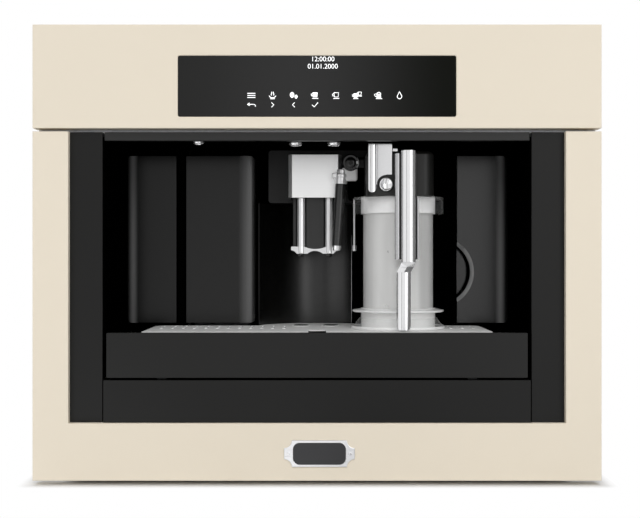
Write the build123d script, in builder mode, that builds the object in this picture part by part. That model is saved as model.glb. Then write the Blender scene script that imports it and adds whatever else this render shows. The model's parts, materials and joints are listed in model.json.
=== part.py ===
from build123d import *
import os

# Built-in bean-to-cup coffee machine, in millimetres.
# X runs right, Y runs back into the cabinet, Z runs up. The origin is on the plane of the
# feet, in the middle of the outside box. The front panels face -Y.

os.makedirs("parts", exist_ok=True)

# ---------------------------------------------------------------- outside sizes
width = 597.0  # front panels, for a cabinet module 600 wide
height = 483.6
depth = 412.0
fascia_lift = 5.0  # front panels hang this far above the feet plane
fascia_depth = 22.0
fascia_sheet = 1.5
lip_width = 14.0  # lip folded inwards behind the cream panels
control_height = 108.7
panel_split = 3.4  # gap between the upper and the lower cream panel
rail_height = 60.3  # cream rail below the niche
column_width = 37.6  # cream columns beside the niche
return_depth = 8.0  # fold around the opening of the lower frame

# ---------------------------------------------------------------- sheet metal and mouldings
sheet = 1.2
plate = 1.5
wall = 2.0
clearance = 0.3  # between faces that move past each other
fit_gap = 0.05  # radial clearance of a running pin
seat_gap = 0.5  # running gap of drawers and doors

# ---------------------------------------------------------------- casing and cabinet runners
cabinet_overlap = 18.5  # front panels reach past each inner side of the cabinet
runner_width = 13.5
casing_drop = 25.6  # top of the casing below the top of the front panels
feet_height = 6.0
foot_radius = 14.0
foot_inset = 40.0
pan_rim = 24.0
flange = 15.0
runner_height = 45.0
runner_length = 350.0
runner_level = 60.0
runner_setback = 2.5
runner_sheet = 1.5
runner_play = 0.5
cabinet_screw_radius = 2.25
cabinet_screw_first = 37.0  # first screw hole behind the cabinet's front edge
cabinet_screw_pitch = 256.0
vent_rows = 12
vent_columns = 3
vent_pitch = 14.0
vent_spacing = 135.0
vent_length = 90.0
vent_width = 5.0
vent_drop = 137.0  # middle of the vents below the top of the casing

# ---------------------------------------------------------------- display
display_width = 291.4
display_height = 63.4
display_bottom = 12.3  # above the lower edge of the upper panel
display_radius = 2.0
glass_thickness = 2.5
glass_setback = 0.3
display_flange = 4.0
display_rim_depth = 6.0
board_thickness = 1.6
small_chip = 5.0  # half the height of a chip
large_chip = 8.0

# ---------------------------------------------------------------- badge
badge_x = 2.5
badge_width = 74.0
badge_height = 27.8
badge_scoop = 8.0
badge_thickness = 1.6
badge_centre_height = 28.6  # above the lower edge of the cream rail
inlay_width = 55.5
inlay_height = 23.0
inlay_radius = 7.0
inlay_depth = 0.8
badge_screw_radius = 1.6
badge_screw_offset = 32.4

# ---------------------------------------------------------------- niche
niche_trim = 36.6  # dark trim between the cream columns and the niche
niche_header = 9.0  # dark header over the niche
niche_depth = 137.0
lip_drop = 2.0  # ceiling lies this far above the front lip
trim_setback = 8.0  # dark trim behind the cream front
trim_thickness = 4.0
panel_setback = 4.0  # tray front and plinth behind the cream front
trim_overlap = 14.0  # trim reaches behind the cream columns
bay_depth = 209.0  # bays behind the niche
recess_radius = 71.4
recess_setback = 123.0  # centre of the round recess behind the front plane
jug_wall = 146.0  # back wall behind the jug, behind the front plane
door_drop = 4.7  # top of the doors below the niche top
door_lift = 3.3  # bottom of the doors above the niche floor
lamp_radius = 7.0
small_lamp_radius = 5.5
lamp_height = 4.0
lamp_spacing = 42.0
lamp_depth = 46.0
small_lamp_x = -127.0
small_lamp_depth = 28.0

# ---------------------------------------------------------------- tray and plinth
plinth_height = 44.4
plinth_thickness = 12.0
reveal = 2.6  # gap above the plinth and beside the tray
tray_front_height = 47.2
tray_front_depth = 10.0
tray_side_gap = 9.0
tray_back = 134.0  # back edge of the tray behind the front plane
tray_rail_height = 4.5
tray_rail_width = 10.0
tray_rail_x = 165.0
grille_inset = 38.3  # side edges of the grille inside the niche sides
grille_thickness = 1.6
grille_bulge = 69.0
grille_corner = 12.0
slot_pitch = 12.4
slot_length = 40.0
slot_width = 2.2
slot_columns = 29
slot_angle = 90.0
slot_inset = 20.0  # back ends of the slots in front of the back edge of the tray
notch_width = 19.0
notch_depth = 38.0
cup_ring_radius = 10.5
cup_ring_width = 1.6
cup_ring_depth = 118.0

# ---------------------------------------------------------------- coffee spout
spout_x = -2.4
cover_width = 60.6
cover_height = 48.9
cover_drop = 57.4  # lower edge of the cover below the ceiling
cover_setback = 100.0
cover_depth = 44.0
cover_sheet = 1.5
cover_bevel = 4.2
carriage_width = 51.0
carriage_depth = 24.0
carriage_top = 49.5  # top of the carriage below the ceiling, spout down
carriage_bottom = 86.2  # bottom of the carriage above the niche floor
tube_radius = 4.45
tube_spacing = 31.8
panel_width = 20.4
panel_depth = 7.0
foot_plate = 2.5
foot_plate_width = 55.0
skirt_height = 5.9
arch_width = 23.0
tip_radius = 4.0
tip_length = 3.6
guide_width = 12.0
guide_depth = 4.0
housing_left = 57.0
housing_right = 62.0
housing_height = 61.5
water_tube_x = 42.6
water_tube_radius = 1.6
water_tube_length = 59.0

# ---------------------------------------------------------------- milk jug
jug_x = 90.0
jug_depth = 78.0
vessel_radius = 38.7
vessel_wall = 2.0
jug_lift = 0.3
jug_headroom = 0.9  # lid plate below the niche top
base_plate = 2.3
foot_ring_radius = 52.5
foot_ring_height = 6.3
base_flange_radius = 51.0
base_flange_level = 17.6
base_flange_height = 5.2
base_wall = 2.0
collar_radius = 50.0
collar_height = 18.0
collar_wall = 2.0
lid_left = 37.0
lid_right = 36.4
lid_front = 32.0
lid_back = 116.0
lid_height = 48.2
lid_corner = 12.0
lid_slope = 3.0
lid_plate_thickness = 2.5
lid_plate_left = 54.7
lid_plate_right = 80.4
lid_plate_leg = 8.8
lid_plate_top = 56.0  # above the collar
lid_plate_edge = 22.6
lid_plate_bottom = 3.6
button_x = 74.2
button_level = 12.1
button_radius = 7.5
button_depth = 7.0
button_stroke = 3.0
slider_x = 84.7
slider_width = 5.2
slider_height = 4.4
slider_travel = 14.0
slider_foot = 2.4
slider_depth = 48.0
handle_x = 97.1
handle_width = 15.2
handle_front = 12.0
handle_thickness = 8.0
handle_top = 47.5  # above the collar
handle_waist = 74.3  # lower end of the upper bar above the niche floor
handle_step = 10.6
handle_shift = 5.0
handle_foot = 1.2
handle_round = 3.0
core_depth = 6.0
core_width = 19.0
flank_width = 4.6
flank_thickness = 1.7
milk_tube_x = 112.8
milk_tube_radius = 5.0
milk_tube_foot = 7.0
pivot_x = 37.4
pivot_rise = 39.9  # above the collar
pivot_radius = 9.5
pivot_pin = 3.0
pivot_arm = 5.0
milk_spout_depth = 90.0
milk_spout_thickness = 13.0
milk_outlet_radius = 6.4
milk_outlet_bore = 3.0
milk_outlet_x = 26.8
milk_outlet_drop = 23.7  # below the pivot
milk_outlet_length = 75.0
milk_outlet_tilt = 3.9
milk_collar_width = 9.0
dock_left = 36.0
dock_right = 122.0
dock_nozzle_radius = 5.0
dock_nozzle_length = 8.0
dock_nozzle_level = 25.0

# ---------------------------------------------------------------- bins, door and tank
bay_gap = 1.7  # between the niche sides and the fronts of the bin and the tank
bin_width = 58.7
front_thickness = 9.0
front_round = 8.0
bay_rib = 2.4
bay_rib_width = 3.0
bin_height = 130.0
bin_length = 194.0
door_gap = 2.8
door_thickness = 6.0
door_round = 9.0
door_edge_round = 4.8
hinge_inset = 4.0
hinge_radius = 2.0
post_gap = 3.4
post_width = 4.9
divider_gap = 1.9
tank_width = 60.1
tank_gap = 2.5
tank_headroom = 12.5  # tank below the head of the doors
tank_length = 180.0
grip_depth = 24.0
scoop_level = 62.7
scoop_radius = 40.9
scoop_width = 19.7

# ---------------------------------------------------------------- works inside
infuser_gap = 8.0  # beside the infuser in the service bay
infuser_setback = 17.0  # behind the door
infuser_length = 108.0
infuser_headroom = 45.9  # below the ceiling
infuser_wall = 14.4
drive_length = 50.0
drive_motor_radius = 17.0
grinder_x = -30.0
grinder_setback = 111.0  # behind the doors, as are the next setbacks
grinder_radius = 30.0
grinder_head = 70.0
grinder_motor_radius = 24.0
grinder_collar = 12.0
hopper_shift = 13.0  # hopper centre in front of the grinder
hopper_half_x = 78.0
hopper_half_y = 52.0
hopper_wall = 2.0
hopper_rim = 5.0
hopper_rim_height = 2.0
hopper_lid_height = 5.0
funnel_half_x = 20.0
funnel_half_y = 22.0
lid_hinge_radius = 2.0
lid_barrel_radius = 3.5
lid_lug = 3.0
lid_gap = 4.4  # between the rims of the hopper and the funnel
knob_radius = 16.0
knob_offset = 24.0  # knob centre beside the rim of the hopper
knob_flutes = 12
flute_radius = 1.6
knob_height = 9.0
knob_post_radius = 4.0
boiler_radius = 27.0
boiler_height = 120.0
boiler_setback = 99.0
boiler_gap = 9.0  # beside the divider of the tank bay
boiler_spacing = 62.0
pump_radius = 19.0
pump_length = 105.0
pump_x = 130.0
pump_setback = 129.0
pump_bracket = 6.0
board_x = -120.0
board_setback = 89.0
board_width = 140.0
board_depth = 100.0
post_height = 8.0
transformer_size = 24.0
coil_size = 18.0
relay_size = 14.0
driver_size = 12.0
inlet_inset = 76.5  # from the left side of the casing
inlet_level = 54.0
inlet_width = 27.0
inlet_height = 20.0
inlet_depth = 22.0
inlet_wall = 2.0
inlet_flange = 5.0
pin_width = 2.0
pin_height = 6.0
pin_spacing = 7.0
pin_length = 16.0
switch_spacing = 50.0  # from the inlet to the switch
switch_width = 14.0
switch_height = 20.0
switch_proud = 2.4

# ---------------------------------------------------------------- places worked out from the sizes
front = -depth / 2
back = depth / 2
half = width / 2
fascia_back = front + fascia_depth
casing_front = fascia_back + plate
runner_out = half - cabinet_overlap
casing_half = runner_out - runner_width
inner_half = casing_half - sheet
casing_top = height - casing_drop
control_bottom = height - control_height
frame_top = control_bottom - panel_split
frame_bottom = fascia_lift
opening_half = half - column_width
niche_half = opening_half - niche_trim
opening_bottom = fascia_lift + rail_height
plinth_bottom = opening_bottom + clearance
plinth_top = plinth_bottom + plinth_height
tray_bottom = plinth_top + reveal
niche_floor = tray_bottom + tray_front_height
niche_top = frame_top - niche_header
ceiling = niche_top + lip_drop
trim_front = front + trim_setback
panel_front = front + panel_setback
plinth_back = panel_front + plinth_thickness
bay_front = front + niche_depth
bulkhead = bay_front + bay_depth
deck_top = tray_bottom + clearance - tray_rail_height - clearance
door_bottom = niche_floor + door_lift
door_head = niche_top - door_drop
grille_top = niche_floor + 2 * clearance
bay_floor_top = niche_floor - 4 * clearance
rib_top = bay_floor_top + bay_rib
recess_centre = front + recess_setback
jug_y = front + jug_depth
jug_bottom = grille_top + jug_lift
collar_top = niche_top - jug_headroom - lid_plate_top
collar_bottom = collar_top - collar_height
bin_left = niche_half - bay_gap
bin_right = bin_left - bin_width
bin_divider = -(bin_right - divider_gap - wall / 2)
post_left = bin_right - post_gap
post_right = post_left - post_width
door_left = post_right - door_gap
door_right = recess_radius + 2 * clearance
tank_right = niche_half - bay_gap
tank_left = tank_right - tank_width
tank_divider = tank_left - tank_gap - wall
rim_top = casing_top + sheet + hopper_rim_height
lid_hinge_z = rim_top + clearance + lid_barrel_radius


def facing(y):
    """Upright plane at y: its x runs right and its y runs up; negative extrudes go back."""
    return Plane.XZ.offset(-y)


def block(x, y, z, mode=Mode.ADD):
    """Box between the two limits given for each axis, added to the part being built."""
    with Locations(((x[0] + x[1]) / 2, (y[0] + y[1]) / 2, (z[0] + z[1]) / 2)):
        Box(abs(x[1] - x[0]), abs(y[1] - y[0]), abs(z[1] - z[0]), mode=mode)


def hinge_lugs(x, half_x, y):
    """Two lugs and the pin between them at the back of a lidded opening on the top cover."""
    for side in (-1, 1):
        block((x + side * (half_x + clearance), x + side * (half_x + clearance + lid_lug)),
              (y - lid_barrel_radius, y + lid_barrel_radius),
              (casing_top + sheet, lid_hinge_z + lid_barrel_radius))
    with Locations(Location((x, y, lid_hinge_z), (0, 90, 0))):
        Cylinder(lid_hinge_radius, 2 * (half_x + clearance + lid_lug))


def save(name, piece):
    """Label a finished piece and write it as its own file."""
    piece.label = name
    export_step(piece, f"parts/{name}.step")


# ================================================================ cabinet runners
runner_bottom = runner_level
runner_top = runner_bottom + runner_height
runner_front = casing_front + runner_setback
runner_back = runner_front + runner_length
cabinet_edge = casing_front + plate  # front edge of the cabinet's sides
shell_step = runner_sheet + runner_play
flange_tip = casing_half + runner_sheet + runner_width / 5

with BuildPart() as runner_outers:
    for side in (-1, 1):
        block((side * (runner_out - runner_sheet), side * runner_out),
              (runner_front, runner_back), (runner_bottom, runner_top))
        for low in (runner_bottom, runner_top - runner_sheet):
            block((side * flange_tip, side * runner_out),
                  (runner_front, runner_back), (low, low + runner_sheet))
        first_hole = cabinet_edge + cabinet_screw_first
        for y in (first_hole, first_hole + cabinet_screw_pitch):
            screw_hole = (side * runner_out, y, (runner_bottom + runner_top) / 2)
            with Locations(Location(screw_hole, (0, 90, 0))):
                Cylinder(cabinet_screw_radius, 4 * runner_sheet, mode=Mode.SUBTRACT)
save("runner_outers", runner_outers.part)

with BuildPart() as runner_middles:
    for side in (-1, 1):
        outside = runner_out - shell_step
        bottom = runner_bottom + shell_step
        top = runner_top - shell_step
        block((side * (outside - runner_sheet), side * outside), (runner_front, runner_back), (bottom, top))
        for low in (bottom, top - runner_sheet):
            block((side * flange_tip, side * outside), (runner_front, runner_back),
                  (low, low + runner_sheet))
save("runner_middles", runner_middles.part)

with BuildPart() as runner_inners:
    for side in (-1, 1):
        outside = runner_out - 2 * shell_step
        bottom = runner_bottom + 2 * shell_step
        top = runner_top - 2 * shell_step
        block((side * casing_half, side * (casing_half + runner_sheet)),
              (runner_front, runner_back), (bottom, top))
        for low in (bottom, top - runner_sheet):
            block((side * casing_half, side * outside), (runner_front, runner_back),
                  (low, low + runner_sheet))
save("runner_inners", runner_inners.part)

# ================================================================ chassis and casing
chassis_half = half - plate - clearance
with BuildPart() as chassis_front:
    block((-chassis_half, chassis_half), (fascia_back, casing_front),
          (feet_height + plate, height - fascia_sheet - clearance))
    block((-opening_half - plate, opening_half + plate), (fascia_back, casing_front),
          (opening_bottom - lip_drop, frame_top), Mode.SUBTRACT)
    for side in (-1, 1):
        block((side * (runner_out + clearance), side * chassis_half), (casing_front, cabinet_edge),
              (feet_height + plate, height - fascia_sheet - clearance))
save("chassis_front", chassis_front.part)

with BuildPart() as base_pan:
    block((-inner_half, inner_half), (casing_front, back - sheet), (feet_height, feet_height + pan_rim))
    block((-inner_half + sheet, inner_half - sheet), (casing_front + sheet, back - 2 * sheet),
          (feet_height + sheet, feet_height + pan_rim), Mode.SUBTRACT)
save("base_pan", base_pan.part)

with BuildPart() as feet:
    for x in (-inner_half + foot_inset, inner_half - foot_inset):
        for y in (casing_front + foot_inset, back - foot_inset):
            with Locations((x, y, feet_height / 2)):
                Cylinder(foot_radius, feet_height)
    chamfer(feet.faces().sort_by(Axis.Z)[:4].edges(), feet_height / 5)
save("feet", feet.part)

with BuildPart() as side_casings:
    for side in (-1, 1):
        block((side * inner_half, side * casing_half), (casing_front, back - sheet),
              (feet_height, casing_top))
        block((side * (inner_half - flange), side * inner_half), (casing_front, back - sheet),
              (casing_top - sheet, casing_top))
        block((side * (inner_half - flange), side * inner_half), (back - 2 * sheet, back - sheet),
              (feet_height + pan_rim + clearance, casing_top))
save("side_casings", side_casings.part)

inlet_x = -casing_half + inlet_inset
inlet_z = feet_height + inlet_level
switch_x = inlet_x + switch_spacing
with BuildPart() as back_cover:
    block((-casing_half, casing_half), (back - sheet, back), (feet_height, casing_top))
    with BuildSketch(facing(back)):
        with Locations((0, casing_top - vent_drop)):
            with GridLocations(vent_spacing, vent_pitch, vent_columns, vent_rows):
                SlotOverall(vent_length, vent_width)
        with Locations((inlet_x, inlet_z)):
            Rectangle(inlet_width, inlet_height)
        with Locations((switch_x, inlet_z)):
            Rectangle(switch_width, switch_height)
    extrude(amount=2 * sheet, mode=Mode.SUBTRACT)
save("back_cover", back_cover.part)

infuser_left = door_left - infuser_gap
infuser_right = door_right + infuser_gap
infuser_front = bay_front + infuser_setback
infuser_back = infuser_front + infuser_length
infuser_top = ceiling - infuser_headroom
infuser_height = infuser_top - bay_floor_top
infuser_bore = (infuser_left - infuser_right) / 2 - infuser_wall
funnel_x = -(infuser_left + infuser_right) / 2
funnel_y = (infuser_front + infuser_back) / 2
grinder_y = bay_front + grinder_setback
hopper_x = funnel_x + funnel_half_x + 2 * hopper_rim + lid_gap + hopper_half_x
hopper_y = grinder_y - hopper_shift
knob_centre = (hopper_x + hopper_half_x + hopper_rim + knob_offset, hopper_y)
with BuildPart() as top_cover:
    block((-casing_half, casing_half), (casing_front, back), (casing_top, casing_top + sheet))
    with BuildSketch(Plane.XY.offset(casing_top)):
        with Locations((hopper_x, hopper_y)):
            Rectangle(2 * hopper_half_x, 2 * hopper_half_y)
        with Locations((funnel_x, funnel_y)):
            Rectangle(2 * funnel_half_x, 2 * funnel_half_y)
        with Locations(knob_centre):
            Circle(knob_post_radius + fit_gap)
    extrude(amount=sheet, mode=Mode.SUBTRACT)
save("top_cover", top_cover.part)

# ================================================================ cream front panels
display_low = control_bottom + display_bottom
display_mid = display_low + display_height / 2
with BuildPart() as control_fascia:
    block((-half, half), (front, fascia_back), (control_bottom, height))
    block((-half + fascia_sheet, half - fascia_sheet), (front + fascia_sheet, fascia_back - fascia_sheet),
          (control_bottom + fascia_sheet, height - fascia_sheet), Mode.SUBTRACT)
    block((-half + lip_width, half - lip_width), (fascia_back - fascia_sheet, fascia_back),
          (control_bottom + lip_width, height - lip_width), Mode.SUBTRACT)
    with BuildSketch(facing(front)):
        with Locations((0, display_mid)):
            RectangleRounded(display_width + 2 * clearance, display_height + 2 * clearance, display_radius)
    extrude(amount=-fascia_sheet, mode=Mode.SUBTRACT)
    outer_edges = control_fascia.faces().sort_by(Axis.Y)[0].outer_wire().edges()
    fillet(outer_edges, fascia_sheet / 2)
save("control_fascia", control_fascia.part)

glass_front = front + glass_setback
rim_back = front + fascia_sheet + display_rim_depth
with BuildPart() as display_glass:
    with BuildSketch(facing(glass_front)):
        with Locations((0, display_mid)):
            RectangleRounded(display_width, display_height, display_radius)
    extrude(amount=-glass_thickness)
    with BuildSketch(facing(front + fascia_sheet)):
        with Locations((0, display_mid)):
            RectangleRounded(display_width + 2 * display_flange, display_height + 2 * display_flange,
                             display_radius)
            Rectangle(display_width - 2 * wall, display_height - 2 * wall, mode=Mode.SUBTRACT)
    extrude(amount=-display_rim_depth)
save("display_glass", display_glass.part)

board_back = rim_back + board_thickness
with BuildPart() as control_board:
    block((-display_width / 2, display_width / 2), (rim_back, board_back),
          (display_low, display_low + display_height))
    for x, size in ((-display_width / 4, small_chip), (0, large_chip), (display_width / 4, small_chip)):
        block((x - 3 * size, x + 3 * size), (board_back, board_back + size / 2),
              (display_mid - size, display_mid + size))
save("control_board", control_board.part)

with BuildPart() as lower_frame:
    block((-half, half), (front, fascia_back), (frame_bottom, frame_top))
    block((-opening_half, opening_half), (front, fascia_back), (opening_bottom, frame_top), Mode.SUBTRACT)
    hollow_bottom = (frame_bottom + fascia_sheet, opening_bottom - fascia_sheet)
    hollow_side = (opening_half + fascia_sheet, half - fascia_sheet)
    hollow_depth = (front + fascia_sheet, fascia_back - fascia_sheet)
    back_depth = (front + return_depth, fascia_back)
    for side in (-1, 1):
        block((side * hollow_side[0], side * hollow_side[1]), hollow_depth,
              (frame_bottom + fascia_sheet, frame_top - fascia_sheet), Mode.SUBTRACT)
        block((side * opening_half, side * (half - lip_width)), back_depth,
              (frame_bottom + lip_width, frame_top - fascia_sheet), Mode.SUBTRACT)
    block((-hollow_side[0], hollow_side[0]), hollow_depth, hollow_bottom, Mode.SUBTRACT)
    block((-half + lip_width, half - lip_width), back_depth, (frame_bottom + lip_width, opening_bottom),
          Mode.SUBTRACT)
    outer_edges = lower_frame.faces().sort_by(Axis.Y)[0].outer_wire().edges()
    fillet(outer_edges, fascia_sheet / 2)
save("lower_frame", lower_frame.part)

badge_z = frame_bottom + badge_centre_height
with BuildPart() as badge_plate:
    with BuildSketch(facing(front)):
        with Locations((badge_x, badge_z)):
            Rectangle(badge_width, badge_height)
            with GridLocations(badge_width, badge_height, 2, 2):
                Circle(badge_scoop, mode=Mode.SUBTRACT)
    extrude(amount=badge_thickness)
    with BuildSketch(facing(front - badge_thickness + inlay_depth)):
        with Locations((badge_x, badge_z)):
            RectangleRounded(inlay_width, inlay_height, inlay_radius)
    extrude(amount=inlay_depth, mode=Mode.SUBTRACT)
    chamfer(badge_plate.faces().sort_by(Axis.Y)[0].outer_wire().edges(), inlay_depth / 2)
save("badge_plate", badge_plate.part)

with BuildPart() as badge_inlay:
    with BuildSketch(facing(front - badge_thickness + inlay_depth)):
        with Locations((badge_x, badge_z)):
            RectangleRounded(inlay_width - fit_gap, inlay_height - fit_gap, inlay_radius - fit_gap)
    extrude(amount=inlay_depth / 2)
save("badge_inlay", badge_inlay.part)

with BuildPart() as badge_screws:
    for side in (-1, 1):
        with BuildSketch(facing(front - badge_thickness)):
            with Locations((badge_x + side * badge_screw_offset, badge_z)):
                Circle(badge_screw_radius)
        extrude(amount=badge_screw_radius / 2)
    fillet(badge_screws.faces().sort_by(Axis.Y)[:2].edges(), badge_screw_radius / 4)
save("badge_screws", badge_screws.part)

# ================================================================ dark trim around the niche
niche_outside = niche_half + wall
trim_outside = opening_half + trim_overlap
with BuildPart() as inner_frames:
    for side in (-1, 1):
        block((side * niche_outside, side * opening_half), (trim_front, trim_front + trim_thickness),
              (opening_bottom, frame_top))
        block((side * opening_half, side * trim_outside), (trim_front, trim_front + trim_thickness),
              (opening_bottom, frame_top - fascia_sheet - clearance))
        block((side * niche_outside, side * (niche_outside + wall)), (trim_front, fascia_back),
              (opening_bottom, frame_top))
        block((side * (opening_half + wall), side * (opening_half + 3 * wall)), (trim_front, fascia_back),
              (opening_bottom, frame_top - fascia_sheet - clearance))
save("inner_frames", inner_frames.part)

with BuildPart() as niche_sides:
    for side in (-1, 1):
        block((side * niche_half, side * niche_outside), (trim_front + wall, bulkhead),
              (deck_top, ceiling + wall))
        block((side * niche_half, side * niche_outside), (trim_front + wall, plinth_back + clearance),
              (deck_top, plinth_top + clearance), Mode.SUBTRACT)
save("niche_sides", niche_sides.part)

header_back = trim_front + return_depth
with BuildPart() as niche_ceiling:
    block((-niche_half, niche_half), (trim_front, header_back), (niche_top, frame_top))
    block((-niche_half, niche_half), (trim_front + 2 * wall, header_back), (niche_top + 2 * wall, frame_top),
          Mode.SUBTRACT)
    block((-niche_half, niche_half), (header_back - wall, bulkhead), (ceiling, ceiling + wall))
    with BuildSketch(Plane.XY.offset(ceiling)):
        with Locations((funnel_x, funnel_y)):
            Rectangle(2 * funnel_half_x, 2 * funnel_half_y)
        with Locations((grinder_x, grinder_y)):
            Circle(grinder_radius + clearance)
    extrude(amount=wall, mode=Mode.SUBTRACT)
    for side in (-1, 1):
        with BuildSketch(Plane.XY.offset(ceiling)):
            with Locations((spout_x + side * lamp_spacing / 2, front + lamp_depth)):
                Circle(lamp_radius / 2)
        extrude(amount=wall, mode=Mode.SUBTRACT)
save("niche_ceiling", niche_ceiling.part)

with BuildPart() as niche_lamps:
    lamps = [(spout_x - lamp_spacing / 2, lamp_depth, lamp_radius),
             (spout_x + lamp_spacing / 2, lamp_depth, lamp_radius),
             (small_lamp_x, small_lamp_depth, small_lamp_radius)]
    for x, setback, radius in lamps:
        with BuildSketch(Plane.XY.offset(ceiling)):
            with Locations((x, front + setback)):
                Circle(radius)
        extrude(amount=-lamp_height * radius / lamp_radius)
    fillet(niche_lamps.faces().filter_by(Axis.Z).sort_by(Axis.Z)[:3].edges(), small_lamp_radius / 4)
save("niche_lamps", niche_lamps.part)

# Moulding behind the niche: bay floor, dividers, round cup recess and the strips above the doors.
recess_left = -recess_radius
jug_wall_y = front + jug_wall
recess_meet = (recess_radius**2 - (jug_wall_y - recess_centre) ** 2) ** 0.5
jamb_front = bay_front + door_thickness + seat_gap
floor_bottom = bay_floor_top - wall
moulding_top = ceiling
hinge_x = -door_left + hinge_inset
hinge_y = bay_front + hinge_inset
strip_bottom = door_head + seat_gap
with BuildPart() as niche_back:
    block((-niche_half, niche_half), (bay_front, bulkhead), (floor_bottom, bay_floor_top))
    with BuildSketch(Plane.XY.offset(floor_bottom)):
        with Locations((0, recess_centre)):
            Circle(recess_radius)
        with Locations(((recess_left + tank_divider) / 2, (bay_front + jug_wall_y) / 2)):
            Rectangle(tank_divider - recess_left, jug_wall_y - bay_front)
    extrude(amount=wall, mode=Mode.SUBTRACT)
    with BuildSketch(Plane.XY.offset(floor_bottom)):
        with Locations((0, recess_centre)):
            Circle(recess_radius + wall)
            Circle(recess_radius, mode=Mode.SUBTRACT)
        with Locations((0, jamb_front - recess_radius)):
            Rectangle(4 * recess_radius, 2 * recess_radius, mode=Mode.SUBTRACT)
        with Locations((recess_radius, (bay_front + jug_wall_y) / 2 - recess_radius)):
            Rectangle(2 * recess_radius, jug_wall_y - bay_front + 2 * recess_radius, mode=Mode.SUBTRACT)
        with Locations((recess_left + wall / 2, jamb_front + wall)):
            Rectangle(2 * wall, 2 * wall)
        with Locations(((recess_meet + tank_divider) / 2, jug_wall_y + wall / 2)):
            Rectangle(tank_divider - recess_meet, wall)
        with Locations((tank_divider + wall / 2, (bay_front + bulkhead) / 2)):
            Rectangle(wall, bulkhead - bay_front)
        with Locations((bin_divider, (bay_front + wall + bulkhead) / 2)):
            Rectangle(wall, bulkhead - bay_front - wall)
        with Locations((-(post_left + post_right) / 2, bay_front + 2 * wall)):
            Rectangle(post_left - post_right, 2 * wall)
    extrude(amount=moulding_top - floor_bottom)
    block((-niche_half, recess_left), (bay_front + wall, bay_front + 4 * wall), (strip_bottom, moulding_top))
    block((tank_divider, niche_half), (bay_front + wall, bay_front + 4 * wall), (strip_bottom, moulding_top))
    for x in (-bin_left + 2 * bay_rib_width, -bin_right - 3 * bay_rib_width,
              tank_left + 2 * bay_rib_width, tank_right - 3 * bay_rib_width):
        block((x, x + bay_rib_width), (bay_front + 2 * wall, bulkhead), (bay_floor_top, rib_top))
    with BuildSketch(Plane.XY.offset(floor_bottom)):
        with Locations((hinge_x, hinge_y)):
            Circle(hinge_radius + fit_gap)
    extrude(amount=moulding_top - floor_bottom, mode=Mode.SUBTRACT)
save("niche_back", niche_back.part)

# ================================================================ plinth and chassis deck
plinth_half = niche_outside - reveal / 2
with BuildPart() as plinth_panel:
    block((-plinth_half, plinth_half), (panel_front, panel_front + plinth_thickness),
          (plinth_bottom, plinth_top))
    block((-plinth_half + wall, plinth_half - wall), (panel_front + wall, panel_front + plinth_thickness),
          (plinth_bottom + wall, plinth_top - wall), Mode.SUBTRACT)
    fillet(plinth_panel.faces().sort_by(Axis.Y)[0].edges(), clearance)
save("plinth_panel", plinth_panel.part)

with BuildPart() as chassis_deck:
    block((-inner_half, inner_half), (casing_front, bulkhead + plate), (deck_top - wall, deck_top))
    block((-inner_half, inner_half), (bulkhead, bulkhead + plate), (deck_top, ceiling + wall))
    block((-niche_half + wall, niche_half - wall), (plinth_back, casing_front), (deck_top - wall, deck_top))
    for side in (-1, 1):
        block((side * (tray_rail_x - tray_rail_width / 2), side * (tray_rail_x + tray_rail_width / 2)),
              (plinth_back, bay_front - wall), (deck_top, deck_top + tray_rail_height))
save("chassis_deck", chassis_deck.part)

# ================================================================ drip tray
tray_half = niche_half - reveal
tray_front_back = panel_front + tray_front_depth
tub_half = niche_half - tray_side_gap
tub_back = front + tray_back
tub_bottom = tray_bottom + clearance
grille_bottom = grille_top - grille_thickness
with BuildPart() as tray_front:
    block((-tray_half, tray_half), (panel_front, tray_front_back), (tray_bottom, niche_floor))
    block((-tray_half + wall, tray_half - wall), (panel_front + wall, tray_front_back),
          (tray_bottom + wall, niche_floor - wall), Mode.SUBTRACT)
    fillet(tray_front.faces().sort_by(Axis.Y)[0].edges(), clearance)
save("tray_front", tray_front.part)


with BuildPart() as tray_tub:
    with BuildSketch(Plane.XY.offset(tub_bottom)):
        with Locations((0, (tray_front_back + tub_back) / 2)):
            Rectangle(2 * tub_half, tub_back - tray_front_back)
        with Locations((0, recess_centre)):
            Circle(grille_bulge - wall)
    extrude(amount=grille_bottom - tub_bottom)
    with BuildSketch(Plane.XY.offset(tub_bottom + wall)):
        with Locations((0, (tray_front_back + tub_back) / 2)):
            Rectangle(2 * (tub_half - wall), tub_back - tray_front_back - 2 * wall)
        with Locations((0, recess_centre)):
            Circle(grille_bulge - 2 * wall)
    extrude(amount=grille_bottom - tub_bottom - wall, mode=Mode.SUBTRACT)
save("tray_tub", tray_tub.part)

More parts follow.
